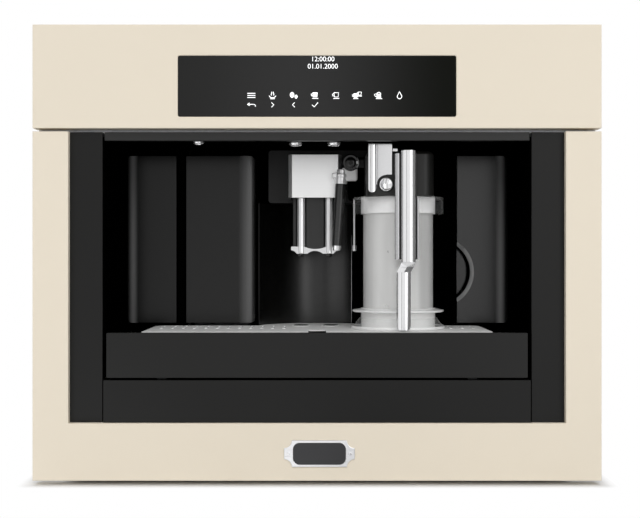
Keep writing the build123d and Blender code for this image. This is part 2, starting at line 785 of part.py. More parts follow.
grille_front = tray_front_back
grille_middle = (grille_front + tub_back) / 2
grille_half = niche_half - grille_inset
slots_middle = tub_back - slot_inset - slot_length / 2
rings_half = tube_spacing / 2 + cup_ring_radius + slot_width
with BuildPart() as drip_grille:
    with BuildSketch(Plane.XY.offset(grille_bottom)):
        with Locations((0, grille_middle)):
            Rectangle(2 * grille_half, tub_back - grille_front)
        with Locations((0, recess_centre)):
            Circle(grille_bulge)
        with Locations((0, grille_front)):
            Rectangle(notch_width, 2 * notch_depth, mode=Mode.SUBTRACT)
        with Locations((0, slots_middle)):
            with GridLocations(slot_pitch, slot_pitch, slot_columns, 1) as slot_row:
                pass
        free_slots = [spot for spot in slot_row.local_locations if abs(spot.position.X - spout_x) > rings_half]
        with Locations((0, slots_middle)):
            with Locations(free_slots):
                SlotOverall(slot_length, slot_width, rotation=slot_angle, mode=Mode.SUBTRACT)
    extrude(amount=grille_thickness)
    for side in (-1, 1):
        with BuildSketch(Plane.XY.offset(grille_top)):
            with Locations((spout_x + side * tube_spacing / 2, front + cup_ring_depth)):
                Circle(cup_ring_radius)
                Circle(cup_ring_radius - cup_ring_width, mode=Mode.SUBTRACT)
        extrude(amount=-grille_thickness / 2, mode=Mode.SUBTRACT)
    back_corners = drip_grille.edges().filter_by(Axis.Z).filter_by_position(
        Axis.Y, tub_back - clearance, tub_back + clearance).sort_by(Axis.X)
    fillet([back_corners[0], back_corners[-1]], grille_corner)
save("drip_grille", drip_grille.part)

# ================================================================ coffee spout
cover_bottom = ceiling - cover_drop
cover_top = cover_bottom + cover_height
cover_front = front + cover_setback
cover_back = cover_front + cover_depth
cover_left = spout_x - cover_width / 2
cover_right = spout_x + cover_width / 2
housing_bottom = ceiling - housing_height
with BuildPart() as spout_cover:
    block((cover_left, cover_right), (cover_front, cover_back), (cover_bottom, cover_top))
    front_corners = spout_cover.edges().filter_by(Axis.Z).group_by(Axis.Y)[0]
    chamfer(front_corners, cover_bevel)
    block((cover_left + cover_sheet, cover_right - cover_sheet),
          (cover_front + cover_bevel, cover_back), (cover_bottom, cover_top - cover_sheet), Mode.SUBTRACT)
    block((cover_left + cover_bevel + cover_sheet, cover_right - cover_bevel - cover_sheet),
          (cover_front + cover_sheet, cover_back), (cover_bottom, cover_top - cover_sheet), Mode.SUBTRACT)
save("spout_cover", spout_cover.part)

carriage_back = cover_back - 2 * wall
carriage_front = carriage_back - carriage_depth
carriage_low = niche_floor + carriage_bottom
carriage_high = ceiling - carriage_top
groove_half = guide_width / 2 + clearance
with BuildPart() as spout_carriage:
    block((spout_x - carriage_width / 2, spout_x + carriage_width / 2), (carriage_front, carriage_back),
          (carriage_low, carriage_high))
    block((spout_x - panel_width / 2, spout_x + panel_width / 2),
          (carriage_front - panel_depth, carriage_front), (carriage_low, carriage_high))
    block((spout_x - guide_width / 2, spout_x + guide_width / 2),
          (carriage_back, cover_back + guide_depth), (housing_bottom + clearance, carriage_high))
    for side in (-1, 1):
        rod_x = spout_x + side * (carriage_width / 2 - wall)
        block((rod_x - wall, rod_x + wall), (carriage_front - wall, carriage_front),
              (carriage_low, carriage_high))
save("spout_carriage", spout_carriage.part)

tube_y = carriage_front - tube_radius - fit_gap
plate_low = carriage_low - foot_plate
plate_front = tube_y - tube_radius - wall
with BuildPart() as spout_tubes:
    block((spout_x - foot_plate_width / 2, spout_x + foot_plate_width / 2), (plate_front, carriage_back),
          (plate_low, carriage_low))
    block((spout_x - foot_plate_width / 2, spout_x + foot_plate_width / 2),
          (plate_front, plate_front + wall / 2), (carriage_low, carriage_low + skirt_height))
    for side in (-1, 1):
        with BuildSketch(Plane.XY.offset(carriage_low)):
            with Locations((spout_x + side * tube_spacing / 2, tube_y)):
                Circle(tube_radius)
        extrude(amount=carriage_high - carriage_low)
    with BuildSketch(facing(plate_front - wall)):
        with Locations((spout_x, plate_low)):
            Ellipse(arch_width / 2, foot_plate + skirt_height / 2)
    extrude(amount=-2 * wall, mode=Mode.SUBTRACT)
    for side in (-1, 1):
        with BuildSketch(Plane.XY.offset(plate_low)):
            with Locations((spout_x + side * tube_spacing / 2, tube_y)):
                Circle(tip_radius / 2)
        extrude(amount=carriage_high - plate_low, mode=Mode.SUBTRACT)
save("spout_tubes", spout_tubes.part)

with BuildPart() as spout_nozzles:
    for side in (-1, 1):
        with BuildSketch(Plane.XY.offset(plate_low)):
            with Locations((spout_x + side * tube_spacing / 2, tube_y)):
                Circle(tip_radius)
                Circle(tip_radius / 2, mode=Mode.SUBTRACT)
        extrude(amount=-tip_length)
save("spout_nozzles", spout_nozzles.part)

# Housing in the recess that carries the spout and the dock of the milk jug.
dock_front = front + lid_back + clearance
dock_bottom = collar_top + clearance
dock_top = dock_bottom + lid_height
nozzle_level = collar_top + dock_nozzle_level
with BuildPart() as dispenser_housing:
    with BuildSketch(Plane.XY.offset(housing_bottom)):
        with Locations((0, recess_centre)):
            Circle(recess_radius - fit_gap)
        with Locations(((housing_right - housing_left) / 2, cover_back + recess_radius)):
            Rectangle(housing_left + housing_right, 2 * recess_radius, mode=Mode.INTERSECT)
    extrude(amount=ceiling - housing_bottom)
    block((dock_left, dock_right), (dock_front, jug_wall_y), (dock_bottom, dock_top))
    block((spout_x - groove_half, spout_x + groove_half),
          (cover_back, cover_back + guide_depth + clearance), (housing_bottom, cover_top), Mode.SUBTRACT)
    with BuildSketch(facing(dock_front)):
        with Locations((jug_x, nozzle_level)):
            Circle(dock_nozzle_radius)
    extrude(amount=dock_nozzle_length)
save("dispenser_housing", dispenser_housing.part)

water_tube_y = dock_front + 2 * water_tube_radius + wall
with BuildPart() as hot_water_tube:
    with BuildSketch(Plane.XY.offset(dock_bottom)):
        with Locations((water_tube_x, water_tube_y)):
            Circle(water_tube_radius)
    extrude(amount=-water_tube_length)
    with BuildSketch(Plane.XY.offset(dock_bottom - water_tube_length)):
        with Locations((water_tube_x, water_tube_y)):
            Circle(2 * water_tube_radius)
    extrude(amount=4 * water_tube_radius)
save("hot_water_tube", hot_water_tube.part)

# ================================================================ service door
with BuildPart() as service_door:
    block((-door_left, -door_right), (bay_front, bay_front + door_thickness), (door_bottom, door_head))
    corner = service_door.edges().filter_by(Axis.Y).group_by(Axis.Z)[-1].sort_by(Axis.X)[-1]
    fillet(corner, door_round)
    right_edge = service_door.faces().sort_by(Axis.Y)[0].edges().sort_by(Axis.X)[-1]
    fillet(right_edge, door_edge_round)
    with BuildSketch(Plane.XY.offset(floor_bottom + clearance)):
        with Locations((hinge_x, hinge_y)):
            Circle(hinge_radius)
    extrude(amount=moulding_top - floor_bottom - 2 * clearance)
save("service_door", service_door.part)

# ================================================================ grounds bin
bin_bottom = rib_top + clearance
bin_back = bay_front + front_thickness + bin_length
with BuildPart() as grounds_bin:
    block((-bin_left, -bin_right), (bay_front, bay_front + front_thickness), (door_bottom, door_head))
    front_face = grounds_bin.faces().sort_by(Axis.Y)[0]
    fillet(front_face.edges().sort_by(Axis.X)[0], front_round)
    block((-bin_left + wall, -bin_right - wall), (bay_front + front_thickness, bin_back),
          (bin_bottom, bin_bottom + bin_height))
    block((-bin_left + 2 * wall, -bin_right - 2 * wall), (bay_front + front_thickness, bin_back - wall),
          (bin_bottom + wall, bin_bottom + bin_height), Mode.SUBTRACT)
save("grounds_bin", grounds_bin.part)

# ================================================================ water tank
tank_back = bay_front + grip_depth + tank_length
tank_top = door_head - tank_headroom
with BuildPart() as water_tank:
    block((tank_left, tank_right - wall / 2), (bay_front + grip_depth, tank_back),
          (bin_bottom, tank_top))
    block((tank_left + wall, tank_right - wall / 2 - wall),
          (bay_front + grip_depth + wall, tank_back - wall), (bin_bottom + wall, tank_top), Mode.SUBTRACT)
save("water_tank", water_tank.part)

scoop_x = tank_left + scoop_width - scoop_radius
with BuildPart() as tank_front:
    block((tank_left, tank_right), (bay_front, bay_front + grip_depth), (door_bottom, door_head))
    front_face = tank_front.faces().sort_by(Axis.Y)[0]
    fillet(front_face.edges().sort_by(Axis.X)[-1], front_round)
    block((tank_left + wall, tank_right - wall), (bay_front + front_thickness, bay_front + grip_depth),
          (door_bottom + wall, door_head - wall), Mode.SUBTRACT)
    with BuildSketch(facing(bay_front)):
        with Locations((scoop_x, niche_floor + scoop_level)):
            Circle(scoop_radius)
    extrude(amount=-grip_depth + wall, mode=Mode.SUBTRACT)
save("tank_front", tank_front.part)

# ================================================================ milk jug
jug_axis = Plane((jug_x, jug_y, 0), x_dir=(1, 0, 0), z_dir=(0, -1, 0))
vessel_bottom = jug_bottom + base_plate
bore_radius = vessel_radius + clearance / 2
with BuildPart() as jug_base:
    with BuildSketch(jug_axis):
        with BuildLine():
            Polyline((0, jug_bottom), (foot_ring_radius, jug_bottom),
                     (foot_ring_radius, jug_bottom + foot_ring_height / 2),
                     (bore_radius + base_wall, jug_bottom + 2 * foot_ring_height),
                     (bore_radius + base_wall, jug_bottom + base_flange_level),
                     (base_flange_radius, jug_bottom + base_flange_level),
                     (base_flange_radius, jug_bottom + base_flange_level + base_flange_height),
                     (bore_radius, jug_bottom + base_flange_level + base_flange_height),
                     (bore_radius, vessel_bottom), (0, vessel_bottom), close=True)
        make_face()
    revolve(axis=Axis((jug_x, jug_y, 0), (0, 0, 1)))
save("jug_base", jug_base.part)

with BuildPart() as jug_vessel:
    with BuildSketch(Plane.XY.offset(vessel_bottom)):
        with Locations((jug_x, jug_y)):
            Circle(vessel_radius)
    extrude(amount=collar_top - collar_wall - vessel_bottom)
    with BuildSketch(Plane.XY.offset(vessel_bottom + vessel_wall)):
        with Locations((jug_x, jug_y)):
            Circle(vessel_radius - vessel_wall)
    extrude(amount=collar_top - vessel_bottom, mode=Mode.SUBTRACT)
save("jug_vessel", jug_vessel.part)

with BuildPart() as jug_collar:
    with BuildSketch(Plane.XY.offset(collar_bottom)):
        with Locations((jug_x, jug_y)):
            Circle(collar_radius)
            Circle(collar_radius - collar_wall, mode=Mode.SUBTRACT)
    extrude(amount=collar_height)
    with BuildSketch(Plane.XY.offset(collar_bottom)):
        with Locations((jug_x, jug_y)):
            Circle(bore_radius + collar_wall)
            Circle(bore_radius, mode=Mode.SUBTRACT)
    extrude(amount=collar_height)
    with BuildSketch(Plane.XY.offset(collar_top - collar_wall)):
        with Locations((jug_x, jug_y)):
            Circle(collar_radius)
    extrude(amount=collar_wall)
    with BuildSketch(Plane.XY.offset(collar_top - collar_wall)):
        with Locations((milk_tube_x, jug_y)):
            Circle(milk_tube_radius)
    extrude(amount=collar_wall, mode=Mode.SUBTRACT)
save("jug_collar", jug_collar.part)

lid_top = collar_top + lid_height
lid_front_y = front + lid_front
lid_back_y = front + lid_back
lid_sides = (jug_x - lid_left, jug_x + lid_right)
button_z = collar_top + button_level
pivot_z = collar_top + pivot_rise
spout_y = front + milk_spout_depth
arm_front = spout_y + milk_spout_thickness / 2 + clearance
slider_y = front + slider_depth
with BuildPart() as jug_lid:
    block(lid_sides, (lid_front_y, lid_back_y), (collar_top, lid_top))
    fillet(jug_lid.edges().filter_by(Axis.Z), lid_corner)
    chamfer(jug_lid.faces().sort_by(Axis.Z)[-1].edges().sort_by(Axis.X)[-1], lid_slope)
    block((lid_plate_left - pivot_radius * 2, lid_sides[0] + lid_corner), (arm_front, arm_front + pivot_arm),
          (pivot_z - pivot_radius / 2, pivot_z + pivot_radius / 2))
    with BuildSketch(facing(arm_front + pivot_arm)):
        with Locations((pivot_x, pivot_z)):
            Circle(pivot_radius)
    extrude(amount=pivot_arm)
    with BuildSketch(facing(arm_front)):
        with Locations((pivot_x, pivot_z)):
            Circle(pivot_pin)
    extrude(amount=milk_spout_thickness)
    with BuildSketch(facing(lid_front_y)):
        with Locations((button_x, button_z)):
            Circle(button_radius + clearance)
    extrude(amount=-button_depth, mode=Mode.SUBTRACT)
    with BuildSketch(facing(lid_back_y)):
        with Locations((jug_x, nozzle_level)):
            Circle(dock_nozzle_radius + clearance)
    extrude(amount=dock_nozzle_length + clearance, mode=Mode.SUBTRACT)
    block((slider_x - slider_width / 2, slider_x + slider_width / 2 + slider_travel),
          (slider_y - slider_foot / 2 - clearance, slider_y + slider_foot / 2 + clearance),
          (lid_top - slider_foot - 2 * clearance, lid_top), Mode.SUBTRACT)
save("jug_lid", jug_lid.part)

plate_top = collar_top + lid_plate_top
plate_edge = collar_top + lid_plate_edge
plate_bottom = collar_top + lid_plate_bottom
with BuildPart() as lid_plate:
    with BuildSketch(facing(lid_front_y)):
        with Locations(((lid_plate_left + lid_plate_right) / 2, (plate_top + plate_edge) / 2)):
            Rectangle(lid_plate_right - lid_plate_left, plate_top - plate_edge)
        with Locations((lid_plate_left + lid_plate_leg / 2, (plate_top + plate_bottom) / 2)):
            Rectangle(lid_plate_leg, plate_top - plate_bottom)
        with Locations((button_x, button_z)):
            Circle(button_radius + 2 * clearance + wall, mode=Mode.SUBTRACT)
    extrude(amount=lid_plate_thickness)
save("lid_plate", lid_plate.part)

with BuildPart() as clean_button:
    with BuildSketch(facing(lid_front_y + button_depth - button_stroke - clearance)):
        with Locations((button_x, button_z)):
            Circle(button_radius)
    extrude(amount=button_depth)
    fillet(clean_button.faces().sort_by(Axis.Y)[0].edges(), clearance)
save("clean_button", clean_button.part)

with BuildPart() as froth_slider:
    block((slider_x - slider_width / 2, slider_x + slider_width / 2),
          (slider_y - slider_width / 2, slider_y + slider_width / 2),
          (lid_top + clearance, lid_top + clearance + slider_height))
    fillet(froth_slider.faces().sort_by(Axis.Z)[-1].edges(), slider_width / 5)
    block((slider_x - slider_width / 2 + clearance, slider_x + slider_width / 2 - clearance),
          (slider_y - slider_foot / 2, slider_y + slider_foot / 2),
          (lid_top - slider_foot, lid_top + 2 * clearance))
save("froth_slider", froth_slider.part)

handle_y = front + handle_front
handle_back = handle_y + handle_thickness
handle_high = collar_top + handle_top
waist = niche_floor + handle_waist
foot_top = waist - handle_step
handle_low = grille_top + handle_foot
core_back = handle_back + core_depth
lower_x = handle_x - handle_shift
with BuildPart() as handle_core:
    block((handle_x - core_width / 2, handle_x + core_width / 2), (handle_back, core_back),
          (waist + handle_round, handle_high - handle_round))
    block((handle_x - core_width / 2, handle_x + core_width / 2), (core_back, lid_front_y),
          (collar_top + wall, handle_high - handle_round))
save("handle_core", handle_core.part)

with BuildPart() as jug_handle:
    block((handle_x - handle_width / 2, handle_x + handle_width / 2), (handle_y, handle_back),
          (waist, handle_high))
    fillet(jug_handle.faces().sort_by(Axis.Y)[0].edges().filter_by(Axis.Z), handle_round)
    with BuildSketch(Plane.XY.offset(waist)):
        with Locations((handle_x, (handle_y + handle_back) / 2)):
            Rectangle(handle_width, handle_thickness)
    with BuildSketch(Plane.XY.offset(foot_top)):
        with Locations((lower_x, (handle_y + handle_back) / 2 + wall)):
            Rectangle(handle_width, handle_thickness)
    loft()
    block((lower_x - handle_width / 2, lower_x + handle_width / 2), (handle_y + wall, handle_back + wall),
          (handle_low, foot_top))
    for side, thickness in ((-1, flank_width), (1, flank_thickness)):
        inner = handle_x + side * core_width / 2
        block((inner, inner + side * thickness), (handle_back - wall, core_back),
              (waist + handle_round, handle_high - handle_round))
        block((handle_x + side * handle_width / 2, inner + side * thickness),
              (handle_back - wall, handle_back), (waist + handle_round, handle_high - handle_round))
save("jug_handle", jug_handle.part)

with BuildPart() as milk_tube:
    tube_low = vessel_bottom + 3 * vessel_wall
    with BuildSketch(Plane.XY.offset(collar_top)):
        with Locations((milk_tube_x, jug_y)):
            Circle(milk_tube_radius - fit_gap)
    extrude(amount=tube_low - collar_top)
    with BuildSketch(Plane.XY.offset(tube_low)):
        with Locations((milk_tube_x, jug_y)):
            Circle(milk_tube_foot)
    extrude(amount=2 * milk_tube_foot)
save("milk_tube", milk_tube.part)

outlet_top = pivot_z - milk_outlet_drop
outlet = Plane(origin=(milk_outlet_x, spout_y, outlet_top), x_dir=(1, 0, 0),
               z_dir=(0, 0, -1)).rotated((0, milk_outlet_tilt, 0))
with BuildPart() as milk_spout:
    with BuildSketch(facing(spout_y + milk_spout_thickness / 2)):
        with Locations((pivot_x, pivot_z)):
            Circle(pivot_radius)
            Circle(pivot_pin + fit_gap, mode=Mode.SUBTRACT)
    extrude(amount=milk_spout_thickness)
    with BuildSketch(facing(spout_y + milk_spout_thickness / 2)):
        with BuildLine():
            Polyline((pivot_x - pivot_radius, pivot_z - pivot_pin),
                     (pivot_x + pivot_radius, pivot_z - pivot_pin - wall),
                     (pivot_x + pivot_radius / 2, outlet_top + milk_collar_width),
                     (milk_outlet_x + milk_outlet_radius, outlet_top),
                     (milk_outlet_x - milk_outlet_radius, outlet_top),
                     (milk_outlet_x - milk_outlet_radius, outlet_top + milk_collar_width), close=True)
        make_face()
        with Locations((pivot_x, pivot_z)):
            Circle(pivot_pin + fit_gap, mode=Mode.SUBTRACT)
    extrude(amount=milk_spout_thickness)
    with BuildSketch(outlet):
        Circle(milk_outlet_radius)
    extrude(amount=milk_outlet_length)
    with BuildSketch(outlet):
        Circle(milk_outlet_bore)
    extrude(amount=milk_outlet_length, mode=Mode.SUBTRACT)
save("milk_spout", milk_spout.part)

# ================================================================ works inside
with BuildPart() as infuser:
    block((-infuser_left, -infuser_right), (infuser_front, infuser_back),
          (bay_floor_top, infuser_top))
    fillet(infuser.edges().filter_by(Axis.X), front_round)
    with BuildSketch(Plane.XY.offset(infuser_top)):
        with Locations((funnel_x, funnel_y)):
            Circle(infuser_bore)
    extrude(amount=-infuser_height / 2, mode=Mode.SUBTRACT)
save("infuser", infuser.part)

with BuildPart() as brew_drive:
    block((-infuser_left, -infuser_right), (infuser_back, infuser_back + drive_length / 2),
          (bay_floor_top, infuser_top))
    with BuildSketch(facing(infuser_back + drive_length / 2)):
        with Locations((funnel_x, bay_floor_top + infuser_height / 3)):
            Circle(drive_motor_radius)
    extrude(amount=-drive_length / 2)
save("brew_drive", brew_drive.part)

grinder_top = ceiling + wall + grinder_collar
grinder_low = grinder_top - grinder_head
with BuildPart() as grinder:
    with BuildSketch(Plane.XY.offset(bay_floor_top)):
        with Locations((grinder_x, grinder_y)):
            Circle(grinder_motor_radius)
    extrude(amount=grinder_low - bay_floor_top)
    with BuildSketch(Plane.XY.offset(grinder_low)):
        with Locations((grinder_x, grinder_y)):
            Circle(grinder_radius)
    extrude(amount=grinder_head)
save("grinder", grinder.part)

with BuildPart() as bean_hopper:
    with BuildSketch(Plane.XY.offset(grinder_top)):
        with Locations((grinder_x, grinder_y)):
            Circle(grinder_radius)
    with BuildSketch(Plane.XY.offset(casing_top - hopper_rim_height)):
        with Locations((hopper_x, hopper_y)):
            Rectangle(2 * (hopper_half_x - clearance), 2 * (hopper_half_y - clearance))
    loft()
    block((hopper_x - hopper_half_x + clearance, hopper_x + hopper_half_x - clearance),
          (hopper_y - hopper_half_y + clearance, hopper_y + hopper_half_y - clearance),
          (casing_top - hopper_rim_height, casing_top + sheet))
    block((hopper_x - hopper_half_x - hopper_rim, hopper_x + hopper_half_x + hopper_rim),
          (hopper_y - hopper_half_y - hopper_rim, hopper_y + hopper_half_y + hopper_rim),
          (casing_top + sheet, casing_top + sheet + hopper_rim_height))
    with BuildSketch(Plane.XY.offset(grinder_top)):
        with Locations((grinder_x, grinder_y)):
            Circle(grinder_radius - 2 * hopper_wall)
    with BuildSketch(Plane.XY.offset(casing_top - hopper_rim_height)):
        with Locations((hopper_x, hopper_y)):
            Rectangle(2 * (hopper_half_x - 2 * hopper_wall), 2 * (hopper_half_y - 2 * hopper_wall))
    loft(mode=Mode.SUBTRACT)
    block((hopper_x - hopper_half_x + 2 * hopper_wall, hopper_x + hopper_half_x - 2 * hopper_wall),
          (hopper_y - hopper_half_y + 2 * hopper_wall, hopper_y + hopper_half_y - 2 * hopper_wall),
          (casing_top - hopper_rim_height, casing_top + 4 * sheet), Mode.SUBTRACT)
    hinge_lugs(hopper_x, hopper_half_x, hopper_y + hopper_half_y)
save("bean_hopper", bean_hopper.part)

with BuildPart() as hopper_lid:
    block((hopper_x - hopper_half_x, hopper_x + hopper_half_x),
          (hopper_y - hopper_half_y, hopper_y + hopper_half_y),
          (rim_top + clearance, rim_top + clearance + hopper_lid_height))
    fillet(hopper_lid.edges().filter_by(Axis.Z).group_by(Axis.Y)[0], 2 * hopper_wall)
    with BuildSketch(Plane.YZ.offset(hopper_x - hopper_half_x)):
        with Locations((hopper_y + hopper_half_y, lid_hinge_z)):
            Circle(lid_barrel_radius)
    extrude(amount=2 * hopper_half_x)
    with BuildSketch(Plane.YZ.offset(hopper_x - hopper_half_x)):
        with Locations((hopper_y + hopper_half_y, lid_hinge_z)):
            Circle(lid_hinge_radius + fit_gap)
    extrude(amount=2 * hopper_half_x, mode=Mode.SUBTRACT)
save("hopper_lid", hopper_lid.part)

with BuildPart() as preground_funnel:
    block((funnel_x - funnel_half_x + clearance, funnel_x + funnel_half_x - clearance),
          (funnel_y - funnel_half_y + clearance, funnel_y + funnel_half_y - clearance),
          (infuser_top + clearance, casing_top + sheet))
    block((funnel_x - funnel_half_x - hopper_rim, funnel_x + funnel_half_x + hopper_rim),
          (funnel_y - funnel_half_y - hopper_rim, funnel_y + funnel_half_y + hopper_rim),
          (casing_top + sheet, rim_top))
    block((funnel_x - funnel_half_x + wall, funnel_x + funnel_half_x - wall),
          (funnel_y - funnel_half_y + wall, funnel_y + funnel_half_y - wall),
          (infuser_top, rim_top), Mode.SUBTRACT)
    hinge_lugs(funnel_x, funnel_half_x, funnel_y + funnel_half_y)
save("preground_funnel", preground_funnel.part)

with BuildPart() as funnel_lid:
    block((funnel_x - funnel_half_x, funnel_x + funnel_half_x),
          (funnel_y - funnel_half_y, funnel_y + funnel_half_y),
          (rim_top + clearance, rim_top + clearance + hopper_lid_height))
    fillet(funnel_lid.edges().filter_by(Axis.Z).group_by(Axis.Y)[0], 2 * hopper_wall)
    with BuildSketch(Plane.YZ.offset(funnel_x - funnel_half_x)):
        with Locations((funnel_y + funnel_half_y, lid_hinge_z)):
            Circle(lid_barrel_radius)
    extrude(amount=2 * funnel_half_x)
    with BuildSketch(Plane.YZ.offset(funnel_x - funnel_half_x)):
        with Locations((funnel_y + funnel_half_y, lid_hinge_z)):
            Circle(lid_hinge_radius + fit_gap)
    extrude(amount=2 * funnel_half_x, mode=Mode.SUBTRACT)
save("funnel_lid", funnel_lid.part)

with BuildPart() as grind_knob:
    with BuildSketch(Plane.XY.offset(casing_top + sheet + clearance)):
        with Locations(knob_centre):
            Circle(knob_radius)
            with PolarLocations(knob_radius, knob_flutes):
                Circle(flute_radius, mode=Mode.SUBTRACT)
    extrude(amount=knob_height)
    with BuildSketch(Plane.XY.offset(casing_top + sheet + clearance)):
        with Locations(knob_centre):
            Circle(knob_post_radius)
    extrude(amount=-4 * knob_post_radius)
save("grind_knob", grind_knob.part)

boiler_x = tank_divider - boiler_gap - boiler_radius
boiler_y = bay_front + boiler_setback
with BuildPart() as boilers:
    for x in (boiler_x - boiler_spacing, boiler_x):
        with BuildSketch(Plane.XY.offset(bay_floor_top)):
            with Locations((x, boiler_y)):
                Circle(boiler_radius)
        extrude(amount=boiler_height)
        with BuildSketch(Plane.XY.offset(bay_floor_top + boiler_height)):
            with Locations((x, boiler_y)):
                Circle(boiler_radius / 4)
        extrude(amount=boiler_radius / 2)
save("boilers", boilers.part)

pan_floor = feet_height + sheet
pump_z = pan_floor + pump_radius + pump_bracket
pump_y = bay_front + pump_setback
with BuildPart() as pump:
    with BuildSketch(Plane.YZ.offset(pump_x - pump_length / 2)):
        with Locations((pump_y, pump_z)):
            Circle(pump_radius)
    extrude(amount=pump_length)
    with BuildSketch(Plane.YZ.offset(pump_x - pump_length)):
        with Locations((pump_y, pump_z)):
            Circle(pump_radius / 3)
    extrude(amount=2 * pump_length)
    for x in (pump_x - pump_length / 3, pump_x + pump_length / 3):
        block((x - pump_bracket / 2, x + pump_bracket / 2), (pump_y - pump_radius, pump_y + pump_radius),
              (pan_floor, pump_z))
save("pump", pump.part)

board_y = bay_front + board_setback
board_sides = (board_x - board_width / 2, board_x + board_width / 2)
board_ends = (board_y - board_depth / 2, board_y + board_depth / 2)
board_low = pan_floor + post_height
with BuildPart() as power_board:
    block(board_sides, board_ends, (board_low, board_low + board_thickness))
    for x in (board_sides[0] + post_height, board_sides[1] - post_height):
        for y in (board_ends[0] + post_height, board_ends[1] - post_height):
            with BuildSketch(Plane.XY.offset(pan_floor)):
                with Locations((x, y)):
                    Circle(post_height / 3)
            extrude(amount=post_height)
    quarters = ((-1, -1), (1, -1), (-1, 1), (1, 1))
    part_sizes = (transformer_size, coil_size, relay_size, driver_size)
    for (across, along), size in zip(quarters, part_sizes):
        x = board_x + across * board_width / 4
        y = board_y + along * board_depth / 4
        block((x - size / 2, x + size / 2), (y - size / 2, y + size / 2), (board_low, board_low + size))
save("power_board", power_board.part)

with BuildPart() as power_inlet:
    block((inlet_x - inlet_width / 2 + clearance, inlet_x + inlet_width / 2 - clearance),
          (back - inlet_depth, back),
          (inlet_z - inlet_height / 2 + clearance, inlet_z + inlet_height / 2 - clearance))
    block((inlet_x - inlet_width / 2 - inlet_flange, inlet_x + inlet_width / 2 + inlet_flange),
          (back - sheet - inlet_wall, back - sheet), (inlet_z - inlet_height / 2 - inlet_wall,
                                                    inlet_z + inlet_height / 2 + inlet_wall))
    block((inlet_x - inlet_width / 2 + inlet_wall, inlet_x + inlet_width / 2 - inlet_wall),
          (back - inlet_depth + inlet_wall, back), (inlet_z - inlet_height / 2 + inlet_wall,
                                                   inlet_z + inlet_height / 2 - inlet_wall), Mode.SUBTRACT)
    for step in (-1, 0, 1):
        x = inlet_x + step * pin_spacing
        block((x - pin_width / 2, x + pin_width / 2), (back - inlet_depth, back - inlet_depth + pin_length),
              (inlet_z - pin_height / 2 + abs(step) * pin_width,
               inlet_z + pin_height / 2 + abs(step) * pin_width))
save("power_inlet", power_inlet.part)

rocker_radius = switch_height / 2 - 2 * clearance
rocker_y = back + switch_proud - rocker_radius
with BuildPart() as main_switch:
    with BuildSketch(Plane.YZ.offset(switch_x - switch_width / 2 + clearance)):
        with Locations((rocker_y, inlet_z)):
            Circle(rocker_radius)
        with BuildLine():
            Polyline((rocker_y + rocker_radius + switch_proud, inlet_z), (back, inlet_z),
                     (rocker_y + rocker_radius + switch_proud, inlet_z + rocker_radius), close=True)
        make_face(mode=Mode.SUBTRACT)
    extrude(amount=switch_width - 2 * clearance)
save("main_switch", main_switch.part)
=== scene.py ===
import json
import logging
import math
from collections.abc import Callable, Iterable, Sequence
from dataclasses import dataclass
from enum import Enum
from functools import cache

import bmesh
import bpy
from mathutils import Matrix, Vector

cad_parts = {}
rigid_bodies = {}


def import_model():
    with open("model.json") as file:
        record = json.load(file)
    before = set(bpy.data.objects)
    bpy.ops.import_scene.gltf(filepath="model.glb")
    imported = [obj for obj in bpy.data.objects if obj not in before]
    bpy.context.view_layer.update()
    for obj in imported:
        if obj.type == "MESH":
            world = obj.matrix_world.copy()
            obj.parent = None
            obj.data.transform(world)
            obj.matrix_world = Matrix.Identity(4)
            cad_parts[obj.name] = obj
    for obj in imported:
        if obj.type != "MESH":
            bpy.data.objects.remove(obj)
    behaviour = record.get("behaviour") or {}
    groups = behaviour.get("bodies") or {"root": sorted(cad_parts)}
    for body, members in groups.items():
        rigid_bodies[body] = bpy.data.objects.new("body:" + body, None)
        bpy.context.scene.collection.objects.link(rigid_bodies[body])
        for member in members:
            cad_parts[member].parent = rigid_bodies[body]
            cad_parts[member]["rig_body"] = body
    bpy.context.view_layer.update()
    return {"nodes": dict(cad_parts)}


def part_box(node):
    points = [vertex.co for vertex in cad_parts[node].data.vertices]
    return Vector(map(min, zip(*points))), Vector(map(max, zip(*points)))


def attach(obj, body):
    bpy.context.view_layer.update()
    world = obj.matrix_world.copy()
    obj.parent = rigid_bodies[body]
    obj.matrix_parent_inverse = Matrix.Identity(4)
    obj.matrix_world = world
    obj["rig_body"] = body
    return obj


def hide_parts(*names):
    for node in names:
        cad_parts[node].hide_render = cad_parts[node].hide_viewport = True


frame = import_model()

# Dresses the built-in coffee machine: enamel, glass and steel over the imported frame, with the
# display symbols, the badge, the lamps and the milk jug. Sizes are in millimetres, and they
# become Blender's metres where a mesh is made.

Colour = tuple[float, float, float]
Point = tuple[float, float, float]
Flat = tuple[float, float]
Profile = tuple[Flat, ...]    # radius and distance along the axis of each step
Piece = bpy.types.Object
Pick = Callable[[Vector, Vector], bool]
MM = 0.001
UP = Vector((0.0, 0.0, 1.0))
DOWN = -UP
FORWARD = Vector((0.0, -1.0, 0.0))
RIGHT = Vector((1.0, 0.0, 0.0))
WHITE = (1.0, 1.0, 1.0)
ALONG = 0.9  # the least share of a direction that counts as lying along an axis
PAST = 1.0  # how far a cutting tool reaches past what it cuts
MERGED = 0.002  # how close two points of a node's loose triangles lie to be one
LEVEL = math.radians(0.3)
SMOOTH = math.radians(32.0)
FACE_WEIGHT = 90  # above 50, the shading follows large faces more than small ones
CORNER_STEPS = 8
log = logging.getLogger("coffee_machine")


